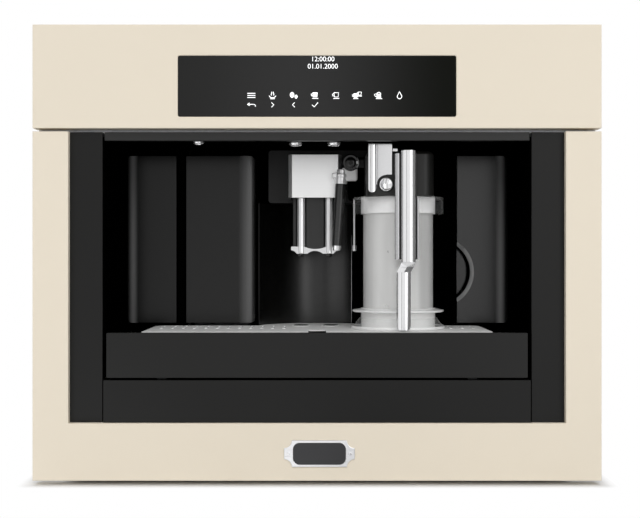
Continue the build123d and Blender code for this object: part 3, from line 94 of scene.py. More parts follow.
# ------------------------------------------------------------------ shader maths
@dataclass(frozen=True)
class Value:
    """A socket of a material, which takes part in sums as a number does."""

    maker: "Maker"
    socket: bpy.types.NodeSocket

    def _sum(self, operation: str, first: "Input", second: "Input") -> "Value":
        """Adds one Math node, such as ADD, and returns its result."""
        return self.maker.node("ShaderNodeMath", {"operation": operation}, {0: first, 1: second})

    def __add__(self, other: "Input") -> "Value":
        """Returns this value plus another."""
        return self._sum("ADD", self, other)

    def __radd__(self, other: "Input") -> "Value":
        """Returns another value plus this one."""
        return self._sum("ADD", other, self)

    def __sub__(self, other: "Input") -> "Value":
        """Returns this value less another."""
        return self._sum("SUBTRACT", self, other)

    def __rsub__(self, other: "Input") -> "Value":
        """Returns another value less this one."""
        return self._sum("SUBTRACT", other, self)

    def __mul__(self, other: "Input") -> "Value":
        """Returns this value times another."""
        return self._sum("MULTIPLY", self, other)

    def __rmul__(self, other: "Input") -> "Value":
        """Returns another value times this one."""
        return self._sum("MULTIPLY", other, self)

    def between(self, low: float, high: float) -> "Value":
        """Returns 0 below low, 1 above high, and a soft step between them."""
        return self.maker.node("ShaderNodeMapRange", {"interpolation_type": "SMOOTHSTEP"},
                               {"Value": self, "From Min": low, "From Max": high})


Input = Value | float | Sequence[float]
Sockets = dict[str | int, Input]


class Maker:
    """Puts together the nodes of one material or world."""

    def __init__(self, tree: bpy.types.NodeTree) -> None:
        """Starts with an empty tree."""
        self.tree = tree
        self.tree.nodes.clear()

    def node(self, kind: str, settings: dict[str, object] | None = None,
             inputs: Sockets | None = None, output: str | int = 0) -> Value:
        """Adds a node.

        Args:
            kind: the node's type, such as ShaderNodeTexNoise.
            settings: its own settings, set first.
            inputs: the values or links of its sockets.
            output: the socket that is wanted.

        Returns:
            The wanted output, ready for sums.
        """
        made = self.tree.nodes.new(kind)
        for key, setting in (settings or {}).items():
            setattr(made, key, setting)
        for key, given in (inputs or {}).items():
            socket = made.inputs[key]
            if isinstance(given, Value):
                self.tree.links.new(given.socket, socket)
            elif socket.type == "RGBA":
                socket.default_value = (*given[:3], 1.0)
            else:
                socket.default_value = given
        return Value(self, made.outputs[output])

    def vector(self, operation: str, *inputs: Input, output: str = "Vector") -> Value:
        """Adds one Vector Math node, such as SUBTRACT, and returns its result."""
        return self.node("ShaderNodeVectorMath", {"operation": operation}, dict(enumerate(inputs)), output)

    def part(self, vector: Value, axis: str) -> Value:
        """Returns one part, X, Y or Z, of a vector."""
        return self.node("ShaderNodeSeparateXYZ", {}, {0: vector}, axis)

    def ray(self, kind: str) -> Value:
        """Returns 1 for rays of one kind, such as Camera, and 0 for all others."""
        return self.node("ShaderNodeLightPath", output=f"Is {kind} Ray")

    def here(self, stretch: Point = (1.0, 1.0, 1.0)) -> Value:
        """Returns the place on the piece, in metres, stretched by axis."""
        place = self.node("ShaderNodeTexCoord", output="Object")
        return self.node("ShaderNodeMapping", {}, {"Vector": place, "Scale": stretch})

    def along(self, axis: str) -> Value:
        """Returns the place along one axis, X, Y or Z, in metres."""
        return self.part(self.here(), axis)

    def off(self, axis: str, at: float) -> Value:
        """Returns how far the place lies from a point on one axis, in metres."""
        return self.node("ShaderNodeMath", {"operation": "ABSOLUTE"}, {0: self.along(axis) - at * MM})

    def noise(self, scale: float, detail: float = 3.0, stretch: Point = (1.0, 1.0, 1.0)) -> Value:
        """Returns cloudy noise from 0 to 1, with scale clouds to the metre."""
        return self.node("ShaderNodeTexNoise", {},
                         {"Vector": self.here(stretch), "Scale": scale, "Detail": detail})

    def cells(self, scale: float) -> Value:
        """Returns a random shade for each crystal, with scale crystals to the metre."""
        shades = self.node("ShaderNodeTexVoronoi", {}, {"Vector": self.here(), "Scale": scale}, "Color")
        return self.node("ShaderNodeSeparateColor", {}, {0: shades})

    def blend(self, factor: Input, low: Input, high: Input) -> Value:
        """Returns a colour between two, by a factor from 0 to 1."""
        return self.node("ShaderNodeMix", {"data_type": "RGBA"}, {0: factor, 6: low, 7: high}, 2)

    def ramp(self, value: Value, stops: Sequence[Flat]) -> Value:
        """Returns a level that runs straight from stop to stop.

        Args:
            value: what the level follows.
            stops: values in rising order, each with its level.

        Returns:
            The level.
        """
        low, high, peak = stops[0][0], stops[-1][0], max(level for _, level in stops)
        share = self.node("ShaderNodeMapRange", {}, {"Value": value, "From Min": low, "From Max": high})
        levels = self.node("ShaderNodeValToRGB", {}, {0: share})
        spots = levels.socket.node.color_ramp.elements
        for at, level in stops:
            place = (at - low) / (high - low)
            spot = spots[0] if at == low else spots[-1] if at == high else spots.new(place)
            spot.color = (level / peak, level / peak, level / peak, 1.0)
        return levels * peak

    def bump(self, height: Value, depth: float) -> Value:
        """Returns a normal that rises by up to depth millimetres."""
        return self.node("ShaderNodeBump", {}, {"Height": height, "Distance": depth * MM})

    def skin(self, sockets: Sockets) -> None:
        """Ends a material in a Principled surface with these sockets."""
        surface = self.node("ShaderNodeBsdfPrincipled", {}, sockets)
        self.node_out("ShaderNodeOutputMaterial", surface)

    def node_out(self, kind: str, surface: Value) -> None:
        """Links a surface to the output node of the tree."""
        self.tree.links.new(surface.socket, self.tree.nodes.new(kind).inputs["Surface"])


def shade(colour: Colour, by: float) -> Colour:
    """Returns a colour made lighter or darker by a factor."""
    return tuple(part * by for part in colour)


# ------------------------------------------------------------------ finishes
@dataclass(frozen=True)
class Finish:
    """A finish: its colour, the two shades it runs between, and how unevenly it is polished."""

    name: str
    colour: Colour
    roughness: float
    shades: Flat = (1.0, 1.0)
    uneven: float = 0.0

    def sockets(self, maker: Maker) -> Sockets:
        """Returns what goes into the Principled surface."""
        raise NotImplementedError

    def tint(self, maker: Maker, by: Value) -> Value:
        """Returns the colour, which runs from one shade to the other by a value."""
        low, high = self.shades
        return maker.blend(by, shade(self.colour, low), shade(self.colour, high))

    def haze(self, by: Value) -> Value:
        """Returns the roughness, which a value from 0 to 1 lowers or raises."""
        return self.roughness + (by - 0.5) * self.uneven


@cache
def material_of(finish: Finish) -> bpy.types.Material:
    """Makes the material of a finish on its first use.

    Args:
        finish: the finish to make.

    Returns:
        The one material that all pieces of this finish share.
    """
    made = bpy.data.materials.new("finish_" + finish.name)
    made.use_nodes = True
    maker = Maker(made.node_tree)
    maker.skin(finish.sockets(maker))
    return made


@dataclass(frozen=True)
class Enamel(Finish):
    """Stoved enamel on sheet steel, with a faint orange peel under a clear gloss."""

    shades: Flat = (0.985, 1.01)
    uneven: float = 0.05
    cloud: float = 7.0
    ripple: float = 380.0
    ripple_depth: float = 0.02
    coat: float = 0.05
    coat_roughness: float = 0.2
    gloss: float = 0.5

    def sockets(self, maker: Maker) -> Sockets:
        """Returns the enamel's sockets."""
        peel = maker.noise(self.ripple, detail=2.0)
        return {"Base Color": self.tint(maker, maker.noise(self.cloud)), "Roughness": self.haze(peel),
                "Coat Weight": self.coat, "Coat Roughness": self.coat_roughness,
                "Specular IOR Level": self.gloss, "Normal": maker.bump(peel, self.ripple_depth)}


@dataclass(frozen=True)
class Lacquer(Enamel):
    """Dark lacquer with a fine ripple and no coat."""

    ripple: float = 900.0
    ripple_depth: float = 0.006
    coat: float = 0.0


@dataclass(frozen=True)
class Moulded(Finish):
    """Moulded plastic with a fine spark-eroded grain."""

    shades: Flat = (0.9, 1.1)
    uneven: float = 0.12
    cloud: float = 11.0
    grain: float = 2400.0
    grain_depth: float = 0.012
    gloss: float = 0.5

    def sockets(self, maker: Maker) -> Sockets:
        """Returns the plastic's sockets."""
        grain = maker.noise(self.grain, detail=2.0)
        return {"Base Color": self.tint(maker, maker.noise(self.cloud)), "Roughness": self.haze(grain),
                "Specular IOR Level": self.gloss, "Normal": maker.bump(grain, self.grain_depth)}


@dataclass(frozen=True)
class HighlitMoulded(Moulded):
    """Moulded plastic with a painted highlight: its colour turns lighter along one upright rounded edge."""

    at: float = 0.0
    reach: float = 8.0
    highlight_grey: float = 0.05

    def sockets(self, maker: Maker) -> Sockets:
        """Returns the plastic's sockets, with the painted highlight near the edge."""
        sockets = super().sockets(maker)
        # painted highlight: the colour runs to a light grey within reach of the edge
        highlight_mask = 1.0 - maker.off("X", self.at).between(0.0, self.reach * MM)
        return sockets | {"Base Color": maker.blend(highlight_mask, sockets["Base Color"], (self.highlight_grey,) * 3)}


class Grain(Enum):
    """The way in which a metal is brushed."""

    ACROSS = (6.0, 900.0, 900.0)
    UPRIGHT = (900.0, 900.0, 6.0)


@dataclass(frozen=True)
class Brushed(Finish):
    """Brushed metal, its scratches drawn out along one axis."""

    shades: Flat = (0.82, 1.1)
    uneven: float = 0.5
    grain: Grain = Grain.ACROSS
    grain_depth: float = 0.01
    metal: float = 1.0

    def sockets(self, maker: Maker) -> Sockets:
        """Returns the metal's sockets."""
        streak = maker.noise(1.0, stretch=self.grain.value)
        low, high = self.shades
        return {"Base Color": self.tint(maker, streak), "Metallic": self.metal,
                "Roughness": self.roughness + (streak - 0.5) * self.uneven * (high - low),
                "Normal": maker.bump(streak, self.grain_depth)}


@dataclass(frozen=True)
class Polished(Finish):
    """Chrome, dulled a little by wiping."""

    shades: Flat = (0.97, 1.0)
    uneven: float = 0.05
    smear: float = 38.0
    metal: float = 1.0

    def sockets(self, maker: Maker) -> Sockets:
        """Returns the chrome's sockets."""
        smear = maker.noise(self.smear, detail=4.0)
        return {"Base Color": self.tint(maker, smear), "Metallic": self.metal,
                "Roughness": self.roughness + smear * self.uneven}


@dataclass(frozen=True)
class Galvanised(Finish):
    """Zinc-coated sheet with its flat crystals."""

    shades: Flat = (0.86, 1.08)
    uneven: float = 0.1
    crystals: float = 150.0
    cloud: float = 30.0

    def sockets(self, maker: Maker) -> Sockets:
        """Returns the sheet's sockets."""
        crystal = maker.cells(self.crystals)
        return {"Base Color": self.tint(maker, crystal), "Metallic": 1.0,
                "Roughness": self.haze(maker.noise(self.cloud)) + crystal * self.uneven}


@dataclass(frozen=True)
class Cast(Finish):
    """Die-cast metal with a pitted skin."""

    shades: Flat = (0.85, 1.06)
    uneven: float = 0.2
    pits: float = 520.0
    pit_depth: float = 0.06

    def sockets(self, maker: Maker) -> Sockets:
        """Returns the casting's sockets."""
        pit = maker.noise(self.pits)
        return {"Base Color": self.tint(maker, pit), "Metallic": 1.0, "Roughness": self.haze(pit),
                "Normal": maker.bump(pit, self.pit_depth)}


@dataclass(frozen=True)
class Clear(Finish):
    """Clear, milky or tinted plastic, which lets some or all light through."""

    shades: Flat = (0.98, 1.0)
    uneven: float = 0.4
    through: float = 1.0
    smear: float = 60.0
    refraction: float = 1.49

    def sockets(self, maker: Maker) -> Sockets:
        """Returns the plastic's sockets."""
        smear = maker.noise(self.smear)
        return {"Base Color": self.tint(maker, smear), "IOR": self.refraction,
                "Roughness": self.roughness + (smear - 0.5) * (self.roughness * self.uneven),
                "Transmission Weight": self.through}


@dataclass(frozen=True)
class Sheer(Clear):
    """Thin clear plastic that shows most where it is seen edge on."""

    through: float = 0.0
    body: float = 0.02
    rim: float = 0.75
    edge_on: Flat = (0.8, 0.98)

    def sockets(self, maker: Maker) -> Sockets:
        """Returns the plastic's sockets."""
        edge = maker.node("ShaderNodeLayerWeight", output="Facing").between(*self.edge_on)
        return super().sockets(maker) | {"Alpha": self.body + (self.rim - self.body) * edge}


@dataclass(frozen=True)
class Frosted(Clear):
    """Frosted plastic with upright flow streaks, and a painted shadow of the milk tube inside it as a dim
    upright band.
    """

    through: float = 0.3
    tube_at: float = 115.0
    tube_span: Flat = (1.35, 6.3)
    tube_shows: float = 0.6
    veil: float = 0.16
    streak: Point = (55.0, 55.0, 1.5)
    streak_edges: Flat = (0.3, 0.7)

    def sockets(self, maker: Maker) -> Sockets:
        """Returns the plastic's sockets."""
        near, far = self.tube_span
        # painted shadow: a dim band in the colour where the milk tube stands behind the wall
        band = 1.0 - maker.off("X", self.tube_at).between(near * MM, far * MM)
        flow = maker.noise(1.0, detail=2.0, stretch=self.streak).between(*self.streak_edges)
        base = maker.blend(flow, shade(self.colour, 1.0 - self.veil), self.colour)
        dim = shade(self.colour, 1.0 - 2.0 * self.veil)
        return super().sockets(maker) | {"Base Color": maker.blend(band * self.tube_shows, base, dim)}


@dataclass(frozen=True)
class DisplayGlass(Finish):
    """Black glass with a painted reflection: its colour is lightest just left of the middle, a little darker
    to its left, and fades to black on its right.
    """

    uneven: float = 0.06
    dark: Colour = (0.002, 0.0024, 0.0012)
    far: float = 150.0
    near: float = 20.0
    left_darkening: float = 0.35
    smear: float = 24.0
    gloss: float = 0.08

    def sockets(self, maker: Maker) -> Sockets:
        """Returns the glass's sockets."""
        across = maker.along("X")
        # painted reflection: a soft light patch in the base colour, fading out to both sides
        reflection_fade = across.between(-self.near * MM, self.far * MM)
        dim = (1.0 - across.between(-self.far * MM, -self.near * MM)) * self.left_darkening
        return {"Base Color": maker.blend(reflection_fade + dim, self.colour, self.dark),
                "Roughness": self.roughness + maker.noise(self.smear) * self.uneven,
                "Specular IOR Level": self.gloss}


@dataclass(frozen=True)
class Circuit(Finish):
    """Green board with its copper tracks under the lacquer."""

    track: Colour = (0.05, 0.2, 0.09)
    pitch: float = 90.0
    stagger: float = 0.35
    gap: float = 0.06
    track_depth: float = 0.03

    def sockets(self, maker: Maker) -> Sockets:
        """Returns the board's sockets."""
        bands = maker.node("ShaderNodeTexBrick", {"offset": self.stagger},
                           {"Vector": maker.here(), "Scale": self.pitch, "Mortar Size": self.gap}, "Fac")
        return {"Base Color": maker.blend(bands, self.colour, self.track),
                "Roughness": self.roughness, "Normal": maker.bump(bands, self.track_depth)}


@dataclass(frozen=True)
class Lit(Finish):
    """Print on the display, lit from behind."""

    shades: Flat = (0.9, 1.0)
    cloud: float = 90.0
    strength: float = 0.8

    def sockets(self, maker: Maker) -> Sockets:
        """Returns the print's sockets."""
        return {"Base Color": self.colour, "Roughness": self.roughness,
                "Emission Color": self.tint(maker, maker.noise(self.cloud, detail=2.0)),
                "Emission Strength": self.strength}


CREAM = Enamel("cream_enamel", (0.784, 0.708, 0.584), 0.5)
TRIM = Lacquer("dark_trim", (0.003, 0.003, 0.0027), 0.42, gloss=0.3)
TRAY = Lacquer("tray_front", (0.004, 0.004, 0.0037), 0.36, gloss=0.34)
# the niche's black moulding, made darker and glossless beyond real plastic: painted shade of the deep niche
NICHE_SHADE = Moulded("niche_moulding_shade", (0.0003, 0.0003, 0.00025), 0.5, gloss=0.0)
BLACK = Moulded("black_moulding", (0.004, 0.004, 0.004), 0.38, gloss=0.3)
DARK = Moulded("dark_moulding", (0.003, 0.003, 0.0027), 0.2, gloss=0.45)
# BIN, DOOR and TANK carry a painted highlight along one rounded edge; on the door it adds to a real
# reflection
BIN = HighlitMoulded("bin_front", (0.002, 0.002, 0.0018), 0.2, gloss=0.34, at=-214.5, reach=7.0, highlight_grey=0.16)
DOOR = HighlitMoulded("door_front", (0.002, 0.002, 0.0018), 0.2, gloss=0.38, at=-82.0, reach=11.0, highlight_grey=0.07)
# the tank's plate is a lighter copy of the bin's and door's dark moulding: painted light for the brighter
# right side
TANK = HighlitMoulded("tank_front", (0.01, 0.01, 0.01), 0.2, gloss=0.62, at=213.0, reach=7.0, highlight_grey=0.2)
# painted highlight: the grip scoop's rim in light grey on the dark tank moulding
GRIP_RIM_HIGHLIGHT = Moulded("grip_rim_highlight", (0.28, 0.28, 0.28), 0.3)
GREY = Moulded("grey_moulding", (0.22, 0.22, 0.23), 0.45)
RUBBER = Moulded("rubber", (0.02, 0.02, 0.02), 0.75, grain=900.0, grain_depth=0.03)
GLASS = DisplayGlass("display_glass", (0.03, 0.03, 0.03), 0.2)
HEADER = Lacquer("header", (0.006, 0.006, 0.0056), 0.42)
GLOSS_BLACK = Moulded("gloss_black", (0.004, 0.004, 0.004), 0.12, grain_depth=0.002)
PRINT = Lit("display_print", (0.85, 0.86, 0.86), 0.5)
CHROME = Polished("chrome", (0.88, 0.88, 0.89), 0.05, metal=0.8)
SATIN_CHROME = Polished("satin_chrome", (0.88, 0.88, 0.89), 0.2, metal=0.5)
BADGE_SILVER = Brushed("badge_silver", (0.9, 0.9, 0.92), 0.3, metal=0.6)
BADGE_INLAY = Moulded("badge_inlay", (0.022, 0.022, 0.024), 0.35)
STEEL = Brushed("brushed_steel", (0.8, 0.8, 0.8), 0.4)
GRILLE_STEEL = Brushed("grille_steel", (0.93, 0.93, 0.92), 0.5, metal=0.0, shades=(0.88, 1.04))
# the plate is a darker copy of the grille steel and the slots' lips a whiter, glossier one: painted shade and
# painted highlight
GRILLE_PLATE_SHADED = Brushed("grille_plate", (0.84, 0.84, 0.83), 0.5, metal=0.0, shades=(0.88, 1.04))
GRILLE_LIP_HIGHLIGHT = Brushed("grille_lip_highlight", (1.0, 1.0, 1.0), 0.25, metal=0.0, shades=(0.97, 1.0))
COVER_STEEL = Brushed("cover_steel", (0.95, 0.95, 0.95), 0.34, metal=0.8, shades=(0.97, 1.02))
TUBE_CHROME = Polished("tube_chrome", (0.92, 0.92, 0.93), 0.08, metal=0.55)
BAND_STEEL = Brushed("jug_band", (0.97, 0.97, 0.97), 0.3, (0.95, 1.02), grain=Grain.UPRIGHT, metal=0.0)
DIM_CHROME = Polished("dim_chrome", (0.5, 0.5, 0.51), 0.18, metal=0.85)
PLATE_CHROME = Polished("plate_chrome", (0.8, 0.8, 0.81), 0.1, metal=0.9)
SHELL = Sheer("clear_shell", (0.95, 0.95, 0.95), 0.04)
FOOT = Sheer("clear_foot", (0.95, 0.96, 0.96), 0.05, body=0.12)
ZINC = Galvanised("zinc_sheet", (0.60, 0.61, 0.62), 0.42)
ALUMINIUM = Cast("cast_aluminium", (0.62, 0.62, 0.62), 0.4)
GREEN = Circuit("board_green", (0.015, 0.10, 0.04), 0.35)
SMOKED = Clear("smoked_plastic", (0.30, 0.30, 0.31), 0.06)
FROSTED = Clear("frosted_plastic", (0.95, 0.95, 0.94), 0.3, through=0.35)
VESSEL = Frosted("frosted_vessel", (0.98, 0.98, 0.97), 0.3)
LINING = Moulded("recess_lining", (0.003, 0.003, 0.0027), 0.26, gloss=0.6)
CARRIAGE = Moulded("spout_carriage", (0.03, 0.03, 0.03), 0.4, gloss=0.3)
LID = Moulded("jug_lid", (0.009, 0.009, 0.0085), 0.42, gloss=0.38)
TUBE_GREY = Moulded("milk_tube", (0.12, 0.12, 0.12), 0.4)
HOSE = Moulded("milk_hose", (0.014, 0.014, 0.014), 0.26, gloss=0.6)
MILKY = Clear("milky_plastic", (0.98, 0.98, 0.98), 0.12, through=0.1)
HAZY = Clear("hazy_plastic", (0.95, 0.95, 0.95), 0.15, through=0.2)
DRUM = Clear("jug_drum", (0.98, 0.98, 0.97), 0.2, through=0.0)

# ------------------------------------------------------------------ the workshop
@dataclass(frozen=True)
class Extent:
    """The space that a node of the frame takes up, in millimetres."""

    left: float
    right: float
    front: float
    back: float
    bottom: float
    top: float

    @classmethod
    def of(cls, node: str) -> "Extent":
        """Measures a node of the frame."""
        low, high = (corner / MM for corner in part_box(node))
        return cls(low.x, high.x, low.y, high.y, low.z, high.z)

    @property
    def middle(self) -> Vector:
        """The middle of the space."""
        return Vector(((self.left + self.right) / 2, (self.front + self.back) / 2,
                       (self.bottom + self.top) / 2))

    @property
    def foot(self) -> Vector:
        """The middle of its underside."""
        return Vector((self.middle.x, self.middle.y, self.bottom))

    @property
    def half_width(self) -> float:
        """Half its width."""
        return (self.right - self.left) / 2

    @property
    def height(self) -> float:
        """How tall it is."""
        return self.top - self.bottom

    @property
    def depth(self) -> float:
        """How deep it is."""
        return self.back - self.front


def select_none() -> None:
    """Leaves edit mode and lets go of every piece."""
    if bpy.context.mode != "OBJECT":
        bpy.ops.object.mode_set(mode="OBJECT")
    bpy.ops.object.select_all(action="DESELECT")


def take(piece: Piece) -> Piece:
    """Picks up one piece alone."""
    select_none()
    piece.select_set(True)
    bpy.context.view_layer.objects.active = piece
    return piece


def named(name: str) -> Piece:
    """Names the piece that was just added, and settles it at the origin."""
    piece = bpy.context.object
    piece.name = piece.data.name = name
    bpy.ops.object.transform_apply(location=True, rotation=True, scale=True)
    return piece


class Bench:
    """Holds one piece in edit mode, where its faces and edges are picked by place."""

    def __init__(self, piece: Piece) -> None:
        """Takes the piece to work on."""
        self.piece = piece

    def __enter__(self) -> "Bench":
        """Opens the piece with nothing picked."""
        take(self.piece)
        bpy.ops.object.mode_set(mode="EDIT")
        bpy.ops.mesh.select_all(action="DESELECT")
        return self

    def __exit__(self, *problem: object) -> None:
        """Closes the piece."""
        bpy.ops.object.mode_set(mode="OBJECT")

    def all(self) -> None:
        """Picks the whole piece."""
        bpy.ops.mesh.select_all(action="SELECT")

    def faces(self, wanted: Pick) -> int:
        """Picks faces.

        Args:
            wanted: says whether a face is picked, by its middle in millimetres and its normal.

        Returns:
            How many were picked.
        """
        bpy.ops.mesh.select_mode(type="FACE")
        bpy.ops.mesh.select_all(action="DESELECT")
        form = bmesh.from_edit_mesh(self.piece.data)
        picked = [f for f in form.faces if wanted(f.calc_center_median() / MM, f.normal)]
        for face in picked:
            face.select_set(True)
        bmesh.update_edit_mesh(self.piece.data)
        return len(picked)

    def edges(self, wanted: Pick, sharp: float = 30.0) -> int:
        """Picks edges.

        Args:
            wanted: says whether an edge is picked, by its middle in millimetres and its direction.
            sharp: the least angle between an edge's two faces, in degrees.

        Returns:
            How many were picked.
        """
        bpy.ops.mesh.select_mode(type="EDGE")
        bpy.ops.mesh.select_all(action="DESELECT")
        form = bmesh.from_edit_mesh(self.piece.data)
        picked = []
        for edge in form.edges:
            low, high = (end.co for end in edge.verts)
            if edge.is_manifold and edge.calc_face_angle() > math.radians(sharp) \
                    and wanted((low + high) / 2 / MM, (high - low).normalized()):
                picked.append(edge)
        for edge in picked:
            edge.select_set(True)
        bmesh.update_edit_mesh(self.piece.data)
        return len(picked)


def everywhere(middle: Vector, way: Vector) -> bool:
    """Picks any face or edge."""
    return True


def block(name: str, x: Flat, y: Flat, z: Flat) -> Piece:
    """Adds a block between two places on each axis.

    Args:
        name: the piece's name.
        x: its left and right.
        y: its front and back.
        z: its bottom and top.

    Returns:
        The block.
    """
    select_none()
    spans = (x, y, z)
    bpy.ops.mesh.primitive_cube_add(size=1.0, location=[(a + b) / 2 * MM for a, b in spans],
                                    scale=[(b - a) * MM for a, b in spans])
    return named(name)


def turned(name: str, centre: Vector, profile: Sequence[Flat], way: Vector = UP,
           sides: int = 48, ring: bool = False) -> Piece:
    """Turns a round piece, drawn out and widened from a circle step by step.

    Args:
        name: the piece's name.
        centre: the point on its axis from which the profile is measured.
        profile: radius and distance along the axis of each step.
        way: the direction of the axis.
        sides: how many sides each circle has.
        ring: whether the last step closes on the first, round an open middle.

    Returns:
        The turned piece, closed and with its faces outwards.
    """
    select_none()
    radius, reach = profile[0]
    bpy.ops.mesh.primitive_circle_add(vertices=sides, radius=radius * MM,
                                      location=(centre + way * reach) * MM,
                                      rotation=way.to_track_quat("Z", "Y").to_euler())
    piece = named(name)
    with Bench(piece) as bench:
        bpy.ops.mesh.select_mode(type="EDGE")
        bench.all()
        for next_radius, next_reach in profile[1:]:
            step = way * (next_reach - reach) * MM
            bpy.ops.mesh.extrude_region_move(TRANSFORM_OT_translate={"value": step})
            factor = next_radius / radius
            if factor != 1.0:
                bpy.ops.transform.resize(value=(factor,) * 3,
                                         center_override=(centre + way * next_reach) * MM)
            radius, reach = next_radius, next_reach
        bench.all()
        if ring:
            bpy.ops.mesh.select_all(action="DESELECT")
            bpy.ops.mesh.select_non_manifold(use_wire=False, use_multi_face=False,
                                             use_non_contiguous=False, use_verts=False)
            bpy.ops.mesh.bridge_edge_loops()
        else:
            bpy.ops.mesh.fill_holes(sides=0)
        bench.all()
        bpy.ops.mesh.normals_make_consistent(inside=False)
    return piece


def scaled(profile: Profile, radius: float, reach: float) -> list[Flat]:
    """Gives a profile in millimetres for one that is in shares of a radius and a reach."""
    return [(radius * out, reach * along) for out, along in profile]


def modify(piece: Piece, kind: str, **settings: object) -> Piece:
    """Adds a modifier to a piece and applies it.

    Args:
        piece: the piece.
        kind: the modifier's type, such as BEVEL.
        settings: its settings.

    Returns:
        The same piece.
    """
    take(piece)
    added = piece.modifiers.new(kind.lower(), kind)
    for key, setting in settings.items():
        setattr(added, key, setting)
    bpy.ops.object.modifier_apply(modifier=added.name)
    return piece


def round_off(piece: Piece, width: float, steps: int = 3,
              wanted: Pick = everywhere) -> Piece:
    """Rounds the sharp edges of a piece, all or some.

    Args:
        piece: the piece.
        width: how far the rounding reaches from each edge.
        steps: how many faces it has across.
        wanted: which edges are rounded, by middle and direction.

    Returns:
        The same piece.
    """
    with Bench(piece) as bench:
        if bench.edges(wanted):
            bpy.ops.mesh.bevel(offset=width * MM, segments=steps, affect="EDGES")
    return piece


def carve(piece: Piece, tool: Piece, keep: bool = False) -> Piece:
    """Cuts a tool's shape out of a piece, or keeps only that shape, and throws the tool away."""
    modify(piece, "BOOLEAN", operation="INTERSECT" if keep else "DIFFERENCE", object=tool, solver="EXACT")
    bpy.data.objects.remove(tool)
    return piece


def repeated(piece: Piece, offsets: Sequence[Vector]) -> Piece:
    """Joins a piece with a copy of it at each offset, and returns it."""
    others = []
    for offset in offsets:
        other = piece.copy()
        other.data = piece.data.copy()
        bpy.context.scene.collection.objects.link(other)
        with Bench(other) as bench:
            bench.all()
            bpy.ops.transform.translate(value=offset * MM)
        others.append(other)
    take(piece)
    for other in others:
        other.select_set(True)
    bpy.ops.object.join()
    return piece


def copy_of(node: str, name: str) -> Piece:
    """Copies a node of the frame and merges its loose triangles.

    Args:
        node: the node that is copied.
        name: the new piece's name.

    Returns:
        The copy, with whole faces.
    """
    piece = bpy.data.objects.new(name, frame["nodes"][node].data.copy())
    piece.data.name = name
    bpy.context.scene.collection.objects.link(piece)
    take(piece)
    bpy.ops.mesh.customdata_custom_splitnormals_clear()
    with Bench(piece) as bench:
        bench.all()
        bpy.ops.mesh.remove_doubles(threshold=MERGED * MM)
        bpy.ops.mesh.dissolve_limited(angle_limit=LEVEL)
    return piece


def fit(piece: Piece, finish: Finish, node: str, instead: bool = False,
        smooth: float = SMOOTH) -> Piece:
    """Dresses a piece and hangs it on the body that carries a node.

    Args:
        piece: the finished piece.
        finish: its finish.
        node: the node whose body it shares.
        instead: whether the piece stands for that node, which is then hidden.
        smooth: the angle up to which two faces look like one, in radians.

    Returns:
        The same piece.
    """
    take(piece)
    bpy.ops.object.shade_smooth_by_angle(angle=smooth)
    modify(piece, "WEIGHTED_NORMAL", keep_sharp=True, weight=FACE_WEIGHT)
    piece.data.materials.clear()
    piece.data.materials.append(material_of(finish))
    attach(piece, frame["nodes"][node]["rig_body"])
    if instead:
        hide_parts(node)
    log.info("%s: %s, %d faces", piece.name, finish.name, len(piece.data.polygons))
    return piece


def accent(piece: Piece, finish: Finish, wanted: Pick) -> None:
    """Gives some faces of a dressed piece a second finish, picked by middle and normal."""
    piece.data.materials.append(material_of(finish))
    piece.active_material_index = len(piece.data.materials) - 1
    with Bench(piece) as bench:
        bench.faces(wanted)
        bpy.ops.object.material_slot_assign()


def dress(finish: Finish, *nodes: str) -> None:
    """Gives nodes of the frame, which keep their shape, a finish."""
    for node in nodes:
        for place in frame["nodes"][node].material_slots:
            place.material = material_of(finish)
        log.info("%s: %s", node, finish.name)


def ease(node: str, width: float, finish: Finish, steps: int = 3,
         wanted: Pick = everywhere) -> Piece:
    """Puts a copy with rounded edges in the place of a node.

    Args:
        node: the node that the copy stands for.
        width: how far the rounding reaches.
        finish: the finish of the copy.
        steps: how many faces the rounding has across.
        wanted: which edges are rounded.

    Returns:
        The copy.
    """
    piece = round_off(copy_of(node, node + "_eased"), width, steps, wanted)
    return fit(piece, finish, node, instead=True)


def split(piece: Piece, at: Point, way: Vector, closed: bool = True) -> Piece:
    """Cuts away the part of a piece that lies beyond a plane.

    Args:
        piece: the piece.
        at: a point on the plane.
        way: the side that is cut away.
        closed: whether the cut is filled.

    Returns:
        The same piece.
    """
    with Bench(piece) as bench:
        bench.all()
        bpy.ops.mesh.bisect(plane_co=Vector(at) * MM, plane_no=way, clear_outer=True, use_fill=closed)
    return piece


def fall_away(piece: Piece, front: float, back: float, reach: float, depth: float,
              wanted: Pick = everywhere, steps: int = 12) -> Piece:
    """Lets the upright front edges of a piece fall away in a flat ellipse.

    Args:
        piece: the piece.
        front: its front face.
        back: its back face.
        reach: how far the ellipse reaches across the front.
        depth: how far it falls back.
        wanted: which of those edges fall away, by middle and direction.
        steps: how many faces each has across.

    Returns:
        The same piece.
    """
    stretch = reach / depth
    limit = back - (back - front) * stretch / 2
    for factor in (stretch, 1.0 / stretch):
        with Bench(piece) as bench:
            bench.all()
            bpy.ops.transform.resize(value=(1.0, factor, 1.0), center_override=(0.0, back * MM, 0.0))
        if factor == stretch:
            round_off(piece, reach, steps, lambda middle, way: abs(way.z) > 0.7 and middle.y < limit
                      and wanted(middle, way))
    return piece


